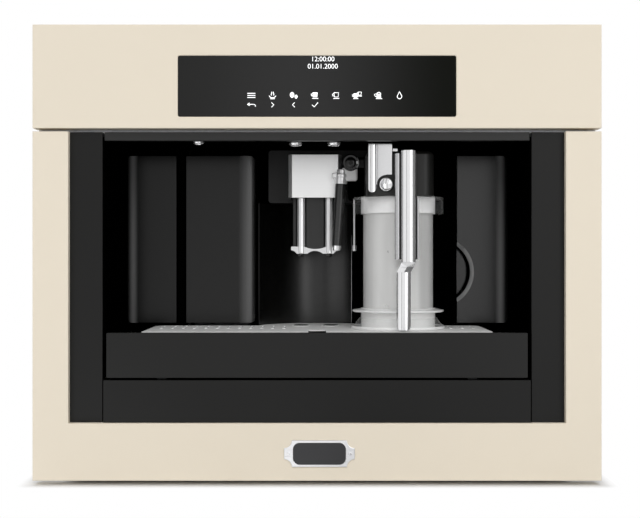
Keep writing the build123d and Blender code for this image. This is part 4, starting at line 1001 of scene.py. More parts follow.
def curved_front(name: str, x: Flat, y: Flat, z: Flat, side: int, reach: float,
                 depth: float) -> Piece:
    """Makes a front plate whose one side edge, or both, falls away in a flat ellipse.

    Args:
        name: the piece's name.
        x: its left and right.
        y: its front and back.
        z: its bottom and top.
        side: -1 where the left edge falls away, 1 where the right one does, and 0 for both.
        reach: how far the ellipse reaches across the front.
        depth: how far it falls back.

    Returns:
        The plate.
    """
    middle_x = sum(x) / 2
    return fall_away(block(name, x, y, z), *y, reach, depth,
                     lambda middle, way: side == 0 or (middle.x - middle_x) * side > 0.0)


def cornered(piece: Piece, x: Flat, y: Flat, z: Flat, radius: float,
             wanted: Callable[[Vector], bool]) -> Piece:
    """Trims a plate to an outline, seen from the front, in which some corners are round.

    Args:
        piece: the plate.
        x: the outline's left and right.
        y: the plate's front and back.
        z: the outline's bottom and top.
        radius: the radius of the round corners.
        wanted: which corners are round, by their place.

    Returns:
        The same plate.
    """
    mould = block("corner_tool", x, (y[0] - PAST, y[1] + PAST), z)
    round_off(mould, radius, CORNER_STEPS, lambda middle, way: abs(way.y) > ALONG and wanted(middle))
    return carve(piece, mould, keep=True)


class Assembly:
    """A group of pieces that is built and dressed together."""

    def build(self) -> None:
        """Builds and dresses the pieces."""
        raise NotImplementedError


# ------------------------------------------------------------------ front panels
@dataclass
class CreamPanels(Assembly):
    """The two enamelled front panels, with their rolled edges."""

    roll: float = 1.2
    roll_steps: int = 4
    near: float = 0.1

    def build(self) -> None:
        """Rolls the front edges of both panels."""
        for node in ("control_fascia", "lower_frame"):
            front = Extent.of(node).front
            ease(node, self.roll, CREAM, self.roll_steps,
                 lambda middle, way, limit=front + self.near: middle.y < limit)


def arc(x: float, z: float, radius: float, start: float, end: float, squash: float = 1.0,
        steps: int = 12) -> list[Flat]:
    """Returns points on an arc.

    Args:
        x: the middle, across.
        z: the middle, up.
        radius: the radius.
        start: the first angle in degrees, from the right and anticlockwise.
        end: the last angle.
        squash: the height as a share of the width.
        steps: how many runs there are.

    Returns:
        The points in order.
    """
    angles = [math.radians(start + (end - start) * i / steps) for i in range(steps + 1)]
    return [(x + radius * math.cos(a), z + radius * squash * math.sin(a)) for a in angles]


def cup(x: float, z: float, size: float) -> list[list[Flat]]:
    """Returns the outline of a cup on its saucer, in lines."""
    return [[(x + px * size, z + pz * size) for px, pz in line] for line in (
        [(-0.26, 0.34), (-0.2, -0.2), (0.26, -0.2), (0.32, 0.34), (-0.26, 0.34)],
        [(-0.28, 0.2), (-0.46, 0.16), (-0.42, -0.06), (-0.22, -0.06)],
        [(-0.34, -0.38), (0.42, -0.38)])]


@dataclass(frozen=True)
class Drawing:
    """A symbol in a square of side 1: lines, and areas that are filled."""

    lines: tuple[list[Flat], ...]
    areas: tuple[list[Flat], ...] = ()


class Symbol(Enum):
    """The symbols on the display, in the order of their two rows."""

    MENU = Drawing(tuple([(-0.5, z), (0.5, z)] for z in (-0.26, 0.0, 0.26)))
    STEAM = Drawing((arc(0.0, 0.02, 0.42, 190, 350, 0.75), [(-0.3, -0.42), (0.3, -0.42)],
                     [(-0.12, -0.02), (-0.18, 0.15), (-0.08, 0.28), (-0.12, 0.46)],
                     [(0.12, -0.02), (0.18, 0.15), (0.08, 0.28), (0.12, 0.46)]))
    BEANS = Drawing(([(0.24, -0.3), (0.3, -0.1)],),
                    (arc(-0.2, 0.06, 0.27, 0, 345, 1.35, 23), arc(0.3, -0.16, 0.19, 0, 345, 1.3, 23)))
    FULL_CUP = Drawing(tuple(cup(0.0, 0.0, 1.0)),
                       ([(-0.24, 0.3), (-0.18, -0.18), (0.24, -0.18), (0.3, 0.3)],))
    CUP = Drawing(tuple(cup(0.0, 0.0, 1.0)))
    TWO_CUPS = Drawing((*cup(-0.22, -0.08, 0.85), *cup(0.3, 0.18, 0.7)),
                       ([(-0.4, 0.16), (-0.36, -0.22), (-0.04, -0.22), (0.0, 0.16)],))
    JUG = Drawing((arc(0.05, 0.12, 0.26, 0, 180), [(-0.3, 0.2), (-0.5, 0.1), (-0.4, -0.1), (-0.2, -0.16)],
                   [(-0.3, -0.4), (0.48, -0.4)]),
                  ([(-0.2, 0.2), (-0.24, -0.3), (0.34, -0.3), (0.3, 0.2)],))
    DROP = Drawing(([(0.0, 0.46), (-0.24, 0.0), *arc(0.0, -0.14, 0.28, 150, 390, 1.0, 16), (0.0, 0.46)],))
    BACK = Drawing(([(-0.2, 0.24), (-0.5, 0.06), (-0.2, -0.12)],
                    [(-0.46, 0.06), (0.34, 0.06), (0.5, -0.06), (0.5, -0.24)]))
    NEXT = Drawing(([(-0.14, 0.3), (0.16, 0.0), (-0.14, -0.3)],))
    PREVIOUS = Drawing(([(0.14, 0.3), (-0.16, 0.0), (0.14, -0.3)],))
    ACCEPT = Drawing(([(-0.34, 0.0), (-0.08, -0.26), (0.4, 0.3)],))


@dataclass
class Display(Assembly):
    """The black glass of the display, with its lit symbols and digits."""

    edge: float = 0.5
    symbol_size: float = 8.4
    symbol_left: float = -68.9
    symbol_pitch: float = 22.2
    row_levels: tuple[float, float] = (26.0, 16.1)
    row_length: int = 8
    line_width: float = 0.8
    print_depth: float = 0.06
    digits: tuple[str, str] = ("12:00:00", "01.01.2000")
    digit_height: float = 7.2
    digit_middle: float = 6.0
    digit_drops: tuple[float, float] = (7.5, 15.1)

    def build(self) -> None:
        """Eases the glass and prints on it."""
        ease("display_glass", self.edge, GLASS)
        glass = Extent.of("display_glass")
        for i, symbol in enumerate(Symbol):
            row, column = divmod(i, self.row_length)
            at = (self.symbol_left + self.symbol_pitch * column, glass.bottom + self.row_levels[row])
            fit(self.draw(symbol, at, glass.front), PRINT, "display_glass")
        for text, drop in zip(self.digits, self.digit_drops):
            fit(self.write(text, glass.top - drop, glass.front), PRINT, "display_glass")

    def draw(self, symbol: Symbol, at: Flat, front: float) -> Piece:
        """Draws one symbol.

        Args:
            symbol: which one.
            at: its middle, across and up.
            front: the front face of the glass.

        Returns:
            The symbol as a thin mesh on the glass.
        """
        strokes = self.curve(symbol.value.lines, at, front, False)
        strokes.name = strokes.data.name = "symbol_" + symbol.name.lower()
        if symbol.value.areas:
            fills = self.curve(symbol.value.areas, at, front, True)
            take(strokes)
            fills.select_set(True)
            bpy.ops.object.join()
        with Bench(strokes) as bench:
            bench.all()
            bpy.ops.transform.resize(value=(1.0, self.print_depth / self.line_width, 1.0),
                                     center_override=(0.0, front * MM, 0.0))
            bpy.ops.mesh.normals_make_consistent(inside=False)
        return strokes

    def curve(self, lines: Iterable[list[Flat]], at: Flat, front: float,
              filled: bool) -> Piece:
        """Turns lines into a mesh, as round wires or as filled plates.

        Args:
            lines: the points of each line, in the symbol's square.
            at: the symbol's middle.
            front: the front face of the glass.
            filled: whether each line encloses a plate.

        Returns:
            The mesh.
        """
        shape = bpy.data.curves.new("strokes", "CURVE")
        shape.dimensions = "2D" if filled else "3D"
        shape.fill_mode = "BOTH" if filled else "FULL"
        thickness = self.line_width / 2 * MM
        if filled:
            shape.extrude = thickness
        else:
            shape.bevel_depth, shape.bevel_resolution, shape.use_fill_caps = thickness, 1, True
        for line in lines:
            run = shape.splines.new("POLY")
            run.points.add(len(line) - 1)
            run.use_cyclic_u = filled
            for point, (x, z) in zip(run.points, line):
                point.co = (x * self.symbol_size * MM, z * self.symbol_size * MM, 0.0, 1.0)
        piece = bpy.data.objects.new("strokes", shape)
        bpy.context.scene.collection.objects.link(piece)
        take(piece)
        bpy.ops.object.convert(target="MESH")
        piece = bpy.context.object
        piece.rotation_euler = (math.radians(90.0), 0.0, 0.0)
        piece.location = (at[0] * MM, front * MM, at[1] * MM)
        bpy.ops.object.transform_apply(location=True, rotation=True, scale=True)
        return piece

    def write(self, text: str, level: float, front: float) -> Piece:
        """Writes one line of digits, and returns it as a mesh on the glass."""
        select_none()
        bpy.ops.object.text_add(location=(self.digit_middle * MM, front * MM, level * MM),
                                rotation=(math.radians(90.0), 0.0, 0.0))
        shape = bpy.context.object.data
        shape.body, shape.align_x, shape.align_y = text, "CENTER", "CENTER"
        shape.size, shape.extrude = self.digit_height * MM, self.print_depth / 2 * MM
        bpy.ops.object.convert(target="MESH")
        return named("digits_" + text.replace(":", "-"))


@dataclass
class Badge(Assembly):
    """The plate on the lower rail: scooped corners, a bare inlay in a rim, and two screws."""

    plate_edge: float = 0.35
    inlay_edge: float = 0.2
    rim_width: float = 0.7
    rim_rise: float = 0.25
    rim_edge: float = 0.15
    corner: float = 7.0
    corner_steps: int = 10
    slot_width: float = 0.45
    slot_depth: float = 0.4
    slot_turns: Flat = (35.0, 80.0)
    head_profile: Profile = ((1.0, -0.5), (1.0, 0.55), (0.86, 0.86), (0.55, 1.0))

    def build(self) -> None:
        """Builds the plate, the rim, the inlay and the screws."""
        plate, inlay = Extent.of("badge_plate"), Extent.of("badge_inlay")
        ease("badge_plate", self.plate_edge, BADGE_SILVER)
        ease("badge_inlay", self.inlay_edge, BADGE_INLAY)
        fit(self.rim(inlay, plate.front), CHROME, "badge_plate")
        screws = Extent.of("badge_screws")
        radius = screws.height / 2
        for turn, x in zip(self.slot_turns, (screws.left + radius, screws.right - radius)):
            head = Vector((x, plate.front, screws.middle.z))
            piece = self.screw("badge_screw_left" if x < inlay.left else "badge_screw_right",
                               head, radius, plate.front - screws.front, turn)
            fit(piece, CHROME, "badge_screws", instead=True)

    def rim(self, inlay: Extent, front: float) -> Piece:
        """Makes the thin bright rim round the inlay."""
        rise, wide = self.rim_rise, self.rim_width
        piece = block("badge_rim", (inlay.left - wide, inlay.right + wide), (front - rise, front + rise),
                      (inlay.bottom - wide, inlay.top + wide))
        with Bench(piece) as bench:
            bench.edges(lambda middle, way: abs(way.y) > ALONG)
            bpy.ops.mesh.bevel(offset=(self.corner + wide) * MM, segments=self.corner_steps, affect="EDGES")
            bench.faces(lambda middle, normal: abs(normal.y) > ALONG)
            bpy.ops.mesh.inset(thickness=wide * MM)
            bpy.ops.mesh.bridge_edge_loops()
            bench.all()
            bpy.ops.mesh.normals_make_consistent(inside=False)
        return round_off(piece, self.rim_edge, 2)

    def screw(self, name: str, head: Vector, radius: float, rise: float, turn: float) -> Piece:
        """Makes one slotted screw head.

        Args:
            name: the piece's name.
            head: the middle of its underside.
            radius: its radius.
            rise: how far it stands proud.
            turn: the angle of its slot in degrees.

        Returns:
            The screw.
        """
        piece = turned(name, head, scaled(self.head_profile, radius, rise), FORWARD, 32)
        tool = block("slot_tool", (head.x - 2 * radius, head.x + 2 * radius),
                     (head.y - 2 * rise, head.y - rise + self.slot_depth),
                     (head.z - self.slot_width / 2, head.z + self.slot_width / 2))
        with Bench(tool) as bench:
            bench.all()
            bpy.ops.transform.rotate(value=math.radians(turn), orient_axis="Y",
                                     center_override=head * MM)
        return carve(piece, tool)


# ------------------------------------------------------------------ niche
@dataclass
class Niche(Assembly):
    """The dark trim, the niche in black with painted shade, its glossy recess, and the three lamps."""

    edge: float = 0.6
    near: float = 1.0
    header_depth: float = 7.5
    recess_centre: Flat = (0.0, -83.0)
    recess_radius: float = 71.4
    recess_slack: float = 0.6
    recess_facing: float = 0.5
    lining: float = 0.4
    lining_right: float = 41.0
    lining_top: float = 302.7
    lining_bottom: float = 161.0
    bead: float = 0.45
    bead_top: float = 266.4
    lamp_ring: Profile = ((1.0, 0.0), (1.0, 0.6), (0.93, 0.85), (0.759, 1.0), (0.66, 0.8), (0.66, 0.0))
    lamp_lens: Profile = ((0.6468, 0.05), (0.6468, 0.5), (0.462, 0.72), (0.198, 0.8))

    def build(self) -> None:
        """Dresses the niche, lines the recess and turns the lamps."""
        for node in ("inner_frames", "plinth_panel"):
            ease(node, self.edge, TRIM)
        fit(copy_of("chassis_deck", "deck_coated"), BLACK, "chassis_deck", True)
        # painted shade: the niche's sides and back in the shade-black moulding
        dress(NICHE_SHADE, "niche_sides", "niche_back")
        front = Extent.of("niche_ceiling").front
        # the ceiling in the shade black too, its front strip in the plain dark lacquer
        ceiling = ease("niche_ceiling", self.edge, NICHE_SHADE,
                       wanted=lambda middle, way: middle.y < front + self.near)
        accent(ceiling, HEADER, lambda middle, normal: middle.y < front + self.header_depth)
        self.line_recess()
        lamps = Extent.of("niche_lamps")
        for i, (middle, radius) in enumerate(self.lamp_centres()):
            top = Vector((middle.x, middle.y, lamps.top))
            ring = turned(f"lamp_ring_{i}", top, scaled(self.lamp_ring, radius, lamps.height), DOWN,
                          ring=True)
            fit(ring, CHROME, "niche_lamps", instead=True)
            lens = turned(f"lamp_lens_{i}", top, scaled(self.lamp_lens, radius, lamps.height), DOWN)
            fit(lens, FROSTED, "niche_lamps")

    def line_recess(self) -> None:
        """Lines the round recess with a glossy sheet, which ends in a bright bead."""
        sheet = copy_of("niche_back", "recess_lining")
        split(sheet, (0.0, 0.0, self.lining_top), UP, closed=False)
        split(sheet, (0.0, 0.0, self.lining_bottom), DOWN, closed=False)
        split(sheet, (self.lining_right, 0.0, 0.0), RIGHT, closed=False)
        centre = Vector((*self.recess_centre, 0.0))

        def astray(middle: Vector, normal: Vector) -> bool:
            """Says whether a face isn't part of the recess's wall."""
            out = Vector((middle.x, middle.y, 0.0)) - centre
            return (abs(out.length - self.recess_radius) > self.recess_slack
                    or normal.dot(out) > -self.recess_facing * out.length)

        with Bench(sheet) as bench:
            bench.faces(astray)
            bpy.ops.mesh.delete(type="FACE")
        modify(sheet, "SOLIDIFY", thickness=self.lining * MM, offset=1.0)
        fit(sheet, LINING, "niche_back")
        inside = self.recess_radius - self.lining - self.bead
        depth = math.sqrt(inside ** 2 - self.lining_right ** 2)
        foot = centre + Vector((self.lining_right, depth, self.lining_bottom))
        tall = self.bead_top - self.lining_bottom
        bead = turned("recess_bead", foot, [(self.bead * 0.6, 0.0), (self.bead, self.bead),
                                            (self.bead, tall - self.bead), (self.bead * 0.6, tall)],
                      UP, 16)
        fit(bead, DIM_CHROME, "niche_back")

    def lamp_centres(self) -> list[tuple[Vector, float]]:
        """Finds the lamps in the frame, each with its middle and radius."""
        piece = copy_of("niche_lamps", "lamp_probe")
        form = bmesh.new()
        form.from_mesh(piece.data)
        left, found = set(form.verts), []
        while left:
            reached = [left.pop()]
            for vert in reached:
                for edge in vert.link_edges:
                    other = edge.other_vert(vert)
                    if other in left:
                        left.discard(other)
                        reached.append(other)
            xs, ys = [v.co.x / MM for v in reached], [v.co.y / MM for v in reached]
            found.append((Vector(((min(xs) + max(xs)) / 2, (min(ys) + max(ys)) / 2, 0.0)),
                          (max(xs) - min(xs)) / 2))
        form.free()
        bpy.data.objects.remove(piece)
        return sorted(found, key=lambda lamp: lamp[0].x)


@dataclass
class DripTray(Assembly):
    """The tray front, its tub and the slotted grille with its two cup dishes."""

    edge: float = 0.8
    dish_radius: float = 9.2
    dish_places: tuple[Flat, ...] = ((-18.5, -78.0), (15.5, -78.0))
    # each cup dish is a black ring, painted shade of the dish's hollow, in a skirt of the plain grille steel
    dish_rings: tuple[tuple[str, Finish, tuple[Flat, ...]], ...] = (
        ("cup_dish_shade", BLACK, ((0.0, -0.2), (-0.6, 0.98), (-1.2, 1.4), (-1.8, 0.98), (-2.2, -0.2))),
        ("cup_skirt", GRILLE_STEEL, ((1.6, -0.2), (1.2, 0.5), (0.1, 0.7), (0.1, -0.2))),
    )
    sunk: float = 0.2
    slot_pitch: float = 12.4
    slot_count: int = 29
    slot_free: float = 28.6
    slot_reach: Flat = (-132.0, -92.0)
    slot_half: float = 1.1
    slot_round: float = 1.05
    lip_width: float = 0.8
    lip_rise: float = 0.6
    lip_round: float = 1.8
    lip_edge: float = 0.35
    lip_steps: int = 6

    def build(self) -> None:
        """Eases the front, dresses the rest, and raises the slots' lips and the rims of the dishes."""
        ease("tray_front", self.edge, TRAY)
        # painted shade: the grille plate in the darker copy of its steel
        dress(GRILLE_PLATE_SHADED, "drip_grille")
        # painted shade: the tray's tub in the shade-black moulding
        dress(NICHE_SHADE, "tray_tub")
        level = Extent.of("drip_grille").top
        self.lips(level)
        for i, place in enumerate(self.dish_places):
            for name, finish, profile in self.dish_rings:
                ring = turned(f"{name}_{i}", Vector((*place, level)),
                              [(self.dish_radius + out, rise) for out, rise in profile], sides=64, ring=True)
                fit(ring, finish, "drip_grille")

    def slots(self) -> list[float]:
        """Returns the places across of the slots, apart from those in the jug's path."""
        stand, free = Extent.of("jug_base"), 2.0 * self.slot_half
        middle = sum(x for x, _ in self.dish_places) / len(self.dish_places)
        places = [self.slot_pitch * (i - self.slot_count // 2) for i in range(self.slot_count)]
        return [x for x in places if abs(x - middle) > self.slot_free
                and not stand.left - free < x < stand.right + free]

    def lips(self, level: float) -> None:
        """Raises a smooth lip round each of those slots, from the grille's level."""
        slots, half, wide = self.slots(), self.slot_half, self.lip_width
        first, (low, high), rim = slots[0], self.slot_reach, level + self.lip_rise
        lip = block("slot_lips", (first - half - wide, first + half + wide), (low - wide, high + wide),
                    (level - self.sunk, rim))
        round_off(lip, self.lip_round, self.lip_steps, lambda middle, way: abs(way.z) > ALONG)
        round_off(lip, self.lip_edge, wanted=lambda middle, way: middle.z > rim - self.sunk)
        hole = block("slot_tool", (first - half, first + half), (low, high), (level - PAST, rim + PAST))
        round_off(hole, self.slot_round, self.lip_steps, lambda middle, way: abs(way.z) > ALONG)
        carve(lip, hole)
        # painted highlight: the lips in the whiter copy of the grille steel
        fit(repeated(lip, [RIGHT * (x - first) for x in slots[1:]]), GRILLE_LIP_HIGHLIGHT, "drip_grille")


# ------------------------------------------------------------------ coffee spout
@dataclass
class CoffeeSpout(Assembly):
    """The steel cover, the sliding carriage with its foot and two tubes, and the hot water tube."""

    cover_edge: float = 0.35
    foot_edge: float = 0.5
    near: float = 0.5
    carriage_edge: float = 1.2
    housing_edge: float = 3.5
    dip_radius: float = 30.0
    dip: float = 2.8
    tube_radius: float = 4.45
    tube_spacing: float = 31.8
    tube_setback: float = 6.45
    foot_thickness: float = 2.5
    skirt_height: float = 5.9
    skirt_thickness: float = 2.0
    foot_front: float = 3.2
    arch_radius: float = 13.0
    arch_drop: float = 9.75
    wing_radius: float = 9.0
    wing_drop: float = 4.95
    tip_radius: float = 4.0
    tip_profile: Profile = ((1.0, 0.0), (1.0, 0.6), (0.8, 1.0), (0.5, 1.0), (0.5, 0.0))
    shade_from: float = 30.0

    def build(self) -> None:
        """Builds the foot and the tubes, and dresses the rest."""
        ease("spout_cover", self.cover_edge, COVER_STEEL)
        ease("spout_carriage", self.carriage_edge, CARRIAGE)
        dress(CHROME, "hot_water_tube")
        limit = Extent.of("dispenser_housing").front + self.near
        housing = ease("dispenser_housing", self.housing_edge, BLACK, 4,
                       lambda middle, way: abs(way.y) > ALONG or middle.y < limit)
        # painted shade: the housing's part right of this line is in the niche's shade black, darker than the
        # rest of it
        accent(housing, NICHE_SHADE, lambda middle, normal: middle.x > self.shade_from)
        space, tips = Extent.of("spout_tubes"), Extent.of("spout_nozzles")
        middle, depth = space.middle.x, space.front + self.tube_setback
        fit(self.foot(space, middle), PLATE_CHROME, "spout_tubes", instead=True)
        for side, word in ((-1, "left"), (1, "right")):
            at = Vector((middle + side * self.tube_spacing / 2, depth, space.bottom))
            wide = self.tube_radius
            tube = turned("spout_tube_" + word, at, [(wide * 0.8, 0.0), (wide, 0.8), (wide, space.height)])
            fit(tube, TUBE_CHROME, "spout_tubes", instead=True)
            tip = turned("spout_tip_" + word, at, scaled(self.tip_profile, self.tip_radius, tips.height),
                         DOWN, 6, ring=True)
            fit(tip, GLOSS_BLACK, "spout_nozzles", instead=True)

    def foot(self, space: Extent, middle: float) -> Piece:
        """Makes the foot that joins the tubes: a plate with an arch and two turned-up wings."""
        front = space.front + self.foot_front
        top = space.bottom + self.foot_thickness + self.skirt_height
        foot = block("spout_foot", (space.left, space.right), (front, space.back), (space.bottom, top))
        back = Vector((0.0, space.back + self.foot_front, 0.0))
        for x, radius, drop in ((middle, self.arch_radius, self.arch_drop),
                                (middle, self.dip_radius, self.dip - self.dip_radius - top + space.bottom),
                                (space.left - PAST, self.wing_radius, self.wing_drop),
                                (space.right + PAST, self.wing_radius, self.wing_drop)):
            reach = space.back - front + 3.0 * self.foot_front
            carve(foot, turned("arch_tool", back + Vector((x, 0.0, space.bottom - drop)),
                               [(radius, 0.0), (radius, reach)], FORWARD, 64))
        carve(foot, block("top_tool", (space.left - PAST, space.right + PAST),
                          (front + self.skirt_thickness, space.back + PAST),
                          (space.bottom + self.foot_thickness, top + PAST)))
        return round_off(foot, self.foot_edge, 2)


@dataclass
class ServiceBays(Assembly):
    """The coffee grounds bin, the service door and the water tank."""

    edge: float = 0.6
    door_reach: float = 16.0
    door_plate: float = 6.0
    side_reach: float = 14.0
    fall: float = 5.5
    plate: float = 9.0
    corner: float = 8.5
    corner_slack: float = 0.5
    scoop_radius: float = 40.9
    scoop_width: float = 19.7
    scoop_level: float = 222.5
    scoop_rim: float = 4.0
    scoop_rim_depth: float = 3.4
    scoop_facing: float = -0.3

    def build(self) -> None:
        """Builds the three fronts, and dresses what is behind them."""
        dress(SMOKED, "water_tank")
        self.front("service_door", DOOR, 1, self.door_plate, self.door_reach)
        self.front("grounds_bin", BIN, -1, self.plate, self.side_reach)
        self.scoop(self.front("tank_front", TANK, 1, self.plate, self.side_reach))

    def scoop(self, plate: Piece) -> None:
        """Scoops the grip out of the tank's plate, its rim painted light grey as a highlight."""
        space, wide = Extent.of("tank_front"), self.scoop_radius
        edge, far = space.left + self.scoop_width, 2.0 * self.plate
        inner = wide - self.scoop_rim
        carve(plate, turned("grip_tool", Vector((edge - wide, space.front + far, self.scoop_level)),
                            [(inner, 0.0), (inner, far - self.scoop_rim_depth), (wide, far),
                             (wide, far + 2.0 * PAST)], FORWARD, 96))
        fit(plate, TANK, "tank_front")
        # painted highlight: the scoop's rim faces get the light grey
        accent(plate, GRIP_RIM_HIGHLIGHT, lambda middle, normal: -ALONG - 0.05 < normal.y < self.scoop_facing
               and normal.x < self.scoop_facing and middle.x < edge + PAST)

    def front(self, node: str, finish: Finish, side: int, thickness: float, reach: float) -> Piece:
        """Builds the front plate of a bay, over what the frame's node has behind it.

        Args:
            node: the node that is shown in two pieces.
            finish: the finish of the plate.
            side: -1 where the left edge falls away, and 1 where the right one does.
            thickness: how thick the plate is.
            reach: how far the edge's ellipse reaches across the front.

        Returns:
            The plate.
        """
        space, tall, slack = Extent.of(node), Extent.of("tank_front"), self.corner_slack
        split_at = space.front + thickness
        y = (space.front, split_at)
        plate = curved_front(node + "_plate", (space.left, space.right), y, (tall.bottom, tall.top), side,
                             reach, self.fall)
        cornered(plate, (space.left - slack, space.right + slack), y, (tall.bottom - slack, tall.top + slack),
                 self.corner, lambda middle: (middle.x - space.middle.x) * side > 0.0)
        fit(round_off(plate, self.edge), finish, node, instead=True)
        rest = split(copy_of(node, node + "_rest"), (0.0, split_at, 0.0), FORWARD)
        fit(rest, BLACK, node)
        # painted shade: the front faces behind the plate in the niche's shade black
        accent(rest, NICHE_SHADE, lambda middle, normal: normal.y < -ALONG)
        return plate


# ------------------------------------------------------------------ milk jug
@dataclass
class MilkJug(Assembly):
    """The milk jug: frosted vessel, clear foot and collar, black lid and chrome handle."""

    edge: float = 0.5
    lid_edge: float = 0.8
    plate_edge: float = 0.25
    bar_edge: float = 0.4
    flank_edge: float = 0.3
    near: float = 0.5
    hub: float = 0.2
    vessel_wall: float = 2.0
    vessel_edge: float = 0.6
    drum: Profile = ((0.2, 0.0), (40.2, 0.0), (41.2, 1.0), (41.2, 22.6), (39.0, 22.6), (39.0, 2.2),
                     (0.2, 2.2))
    flange: Profile = ((41.3, 17.8), (50.3, 18.6), (51.0, 19.6), (50.3, 20.6), (41.3, 22.2))
    foot_ring: Profile = ((41.3, 0.2), (51.9, 0.2), (52.5, 1.4), (52.0, 3.0), (47.5, 5.4), (42.7, 12.0),
                          (41.3, 12.0))
    band: Profile = ((39.0, 0.0), (41.2, 0.0), (41.2, 17.8), (39.0, 17.8))
    shell: Profile = ((50.0, 0.0), (50.0, 17.2), (49.2, 18.0), (41.35, 18.0), (41.35, 16.4), (48.4, 16.4),
                      (48.4, 0.0))
    # inset from the button's rim and drop below its face
    dish: Profile = ((0.0, 7.0), (0.0, 1.4), (0.5, 0.4), (1.2, 0.0), (1.9, 0.5), (3.75, 1.8), (6.0, 2.2),
                     (7.3, 2.3))
    foot_glint_inset: float = 0.8
    foot_glint_rise: float = 3.2
    bar_width: float = 15.2
    bar_depth: float = 8.0
    bar_reach: float = 6.6
    bar_fall: float = 4.6
    bar_end: float = 4.0
    bar_left: float = 89.5
    waist: float = 234.1
    waist_drop: float = 10.6
    waist_shift: float = 5.0
    waist_back: float = 2.0
    flank_left: Flat = (83.0, 87.9)
    flank_right: Flat = (106.5, 108.3)
    flank_front: float = -188.2
    flank_back: float = -180.0
    flank_span: Flat = (237.1, 350.1)
    flank_low_span: Flat = (237.1, 302.5)
    bar_smooth: float = math.radians(16.0)
    gem_smooth: float = math.radians(4.0)
    gem_level: float = 0.45
    gem_steps: tuple[Point, ...] = ((0.0, 1.6, 3.4), (5.83, 3.4, -1.4))
    leg_width: float = 8.8
    leg_reach: float = 4.3
    leg_fall: float = 1.6
    face_reach: float = 14.0
    face_fall: float = 1.0
    face_edge: float = 33.4
    face_step: float = 0.2
    button_gap: float = 2.6

    def build(self) -> None:
        """Builds the jug from the foot up."""
        self.vessel()
        dress(TUBE_GREY, "milk_tube")
        dress(CHROME, "froth_slider")
        ease("jug_lid", self.lid_edge, LID)
        ease("handle_core", self.edge, LID)
        self.foot()
        self.collar()
        self.plate()
        self.button()
        self.handle()

    def vessel(self) -> None:
        """Turns the frosted vessel, open at its mouth."""
        space, wall = Extent.of("jug_vessel"), self.vessel_wall
        wide, tall = space.half_width, space.height
        vessel = turned("jug_vessel_turned", space.foot,
                        [(self.hub, 0.0), (wide - wall, 0.0), (wide - self.vessel_edge, self.vessel_edge),
                         (wide, wall), (wide, tall), (wide - wall, tall), (wide - wall, wall),
                         (self.hub, wall)], sides=128)
        fit(vessel, VESSEL, "jug_vessel", instead=True)

    def foot(self) -> None:
        """Builds the bright drum round the vessel's foot, its clear flange and flared ring, whose bottom lip
        is painted milky as a glint.
        """
        space = Extent.of("jug_base")
        at = space.foot
        fit(turned("jug_drum", at, self.drum, sides=96), DRUM, "jug_base", instead=True)
        fit(turned("jug_flange", at, self.flange, sides=96, ring=True), MILKY, "jug_base", instead=True)
        ring = turned("jug_foot_ring", at, self.foot_ring, sides=96, ring=True)
        fit(ring, FOOT, "jug_base", instead=True)
        lip, glint_top = space.half_width - self.foot_glint_inset, at.z + self.foot_glint_rise
        # painted glint: the ring's outer bottom lip in milky plastic
        accent(ring, MILKY, lambda middle, normal: middle.z < glint_top
               and math.hypot(middle.x - at.x, middle.y - at.y) > lip)

    def collar(self) -> None:
        """Builds the bright band round the vessel's mouth and the clear collar over it."""
        at = Extent.of("jug_collar").foot
        for name, profile, finish in (("jug_band", self.band, BAND_STEEL),
                                      ("jug_collar_shell", self.shell, SHELL)):
            fit(turned(name, at, profile, sides=96, ring=True), finish, "jug_collar", instead=True)

    def plate(self) -> None:
        """Builds the chrome plate on the lid: a rounded leg, and a face scooped out by the button."""
        space, button = Extent.of("lid_plate"), Extent.of("clean_button")
        split_x, y = space.left + self.leg_width, (space.front, space.back)
        leg = curved_front("lid_plate_leg", (space.left, split_x), y, (space.bottom, space.top), 0,
                           self.leg_reach, self.leg_fall)
        cornered(leg, (space.left, split_x), y, (space.bottom, space.top + PAST), self.leg_reach,
                 lambda middle: middle.z < space.bottom + self.near)
        fit(round_off(leg, self.plate_edge, 2), PLATE_CHROME, "lid_plate", instead=True)
        face = curved_front("lid_plate_face", (split_x, space.right),
                            (space.front + self.face_step, space.back), (button.middle.z, space.top), -1,
                            self.face_reach, self.face_fall)
        radius, deep = button.half_width + self.button_gap, space.depth + 2.0 * PAST
        scoop = Vector((button.middle.x, space.back + PAST, button.middle.z))
        carve(face, turned("scoop_tool", scoop, [(radius, 0.0), (radius, deep)], FORWARD, 64))
        carve(face, block("face_tool", (button.middle.x, space.right + PAST),
                          (space.front - PAST, space.back + PAST),
                          (button.middle.z - PAST, space.top - self.face_edge)))
        fit(round_off(face, self.plate_edge, 2), PLATE_CHROME, "lid_plate", instead=True)

    def button(self) -> None:
        """Turns the dished chrome button."""
        space = Extent.of("clean_button")
        at = Vector((space.middle.x, space.back, space.middle.z))
        profile = [(space.half_width - inset, space.depth - drop) for inset, drop in self.dish]
        fit(turned("clean_button_dished", at, profile, FORWARD), CHROME, "clean_button", instead=True)

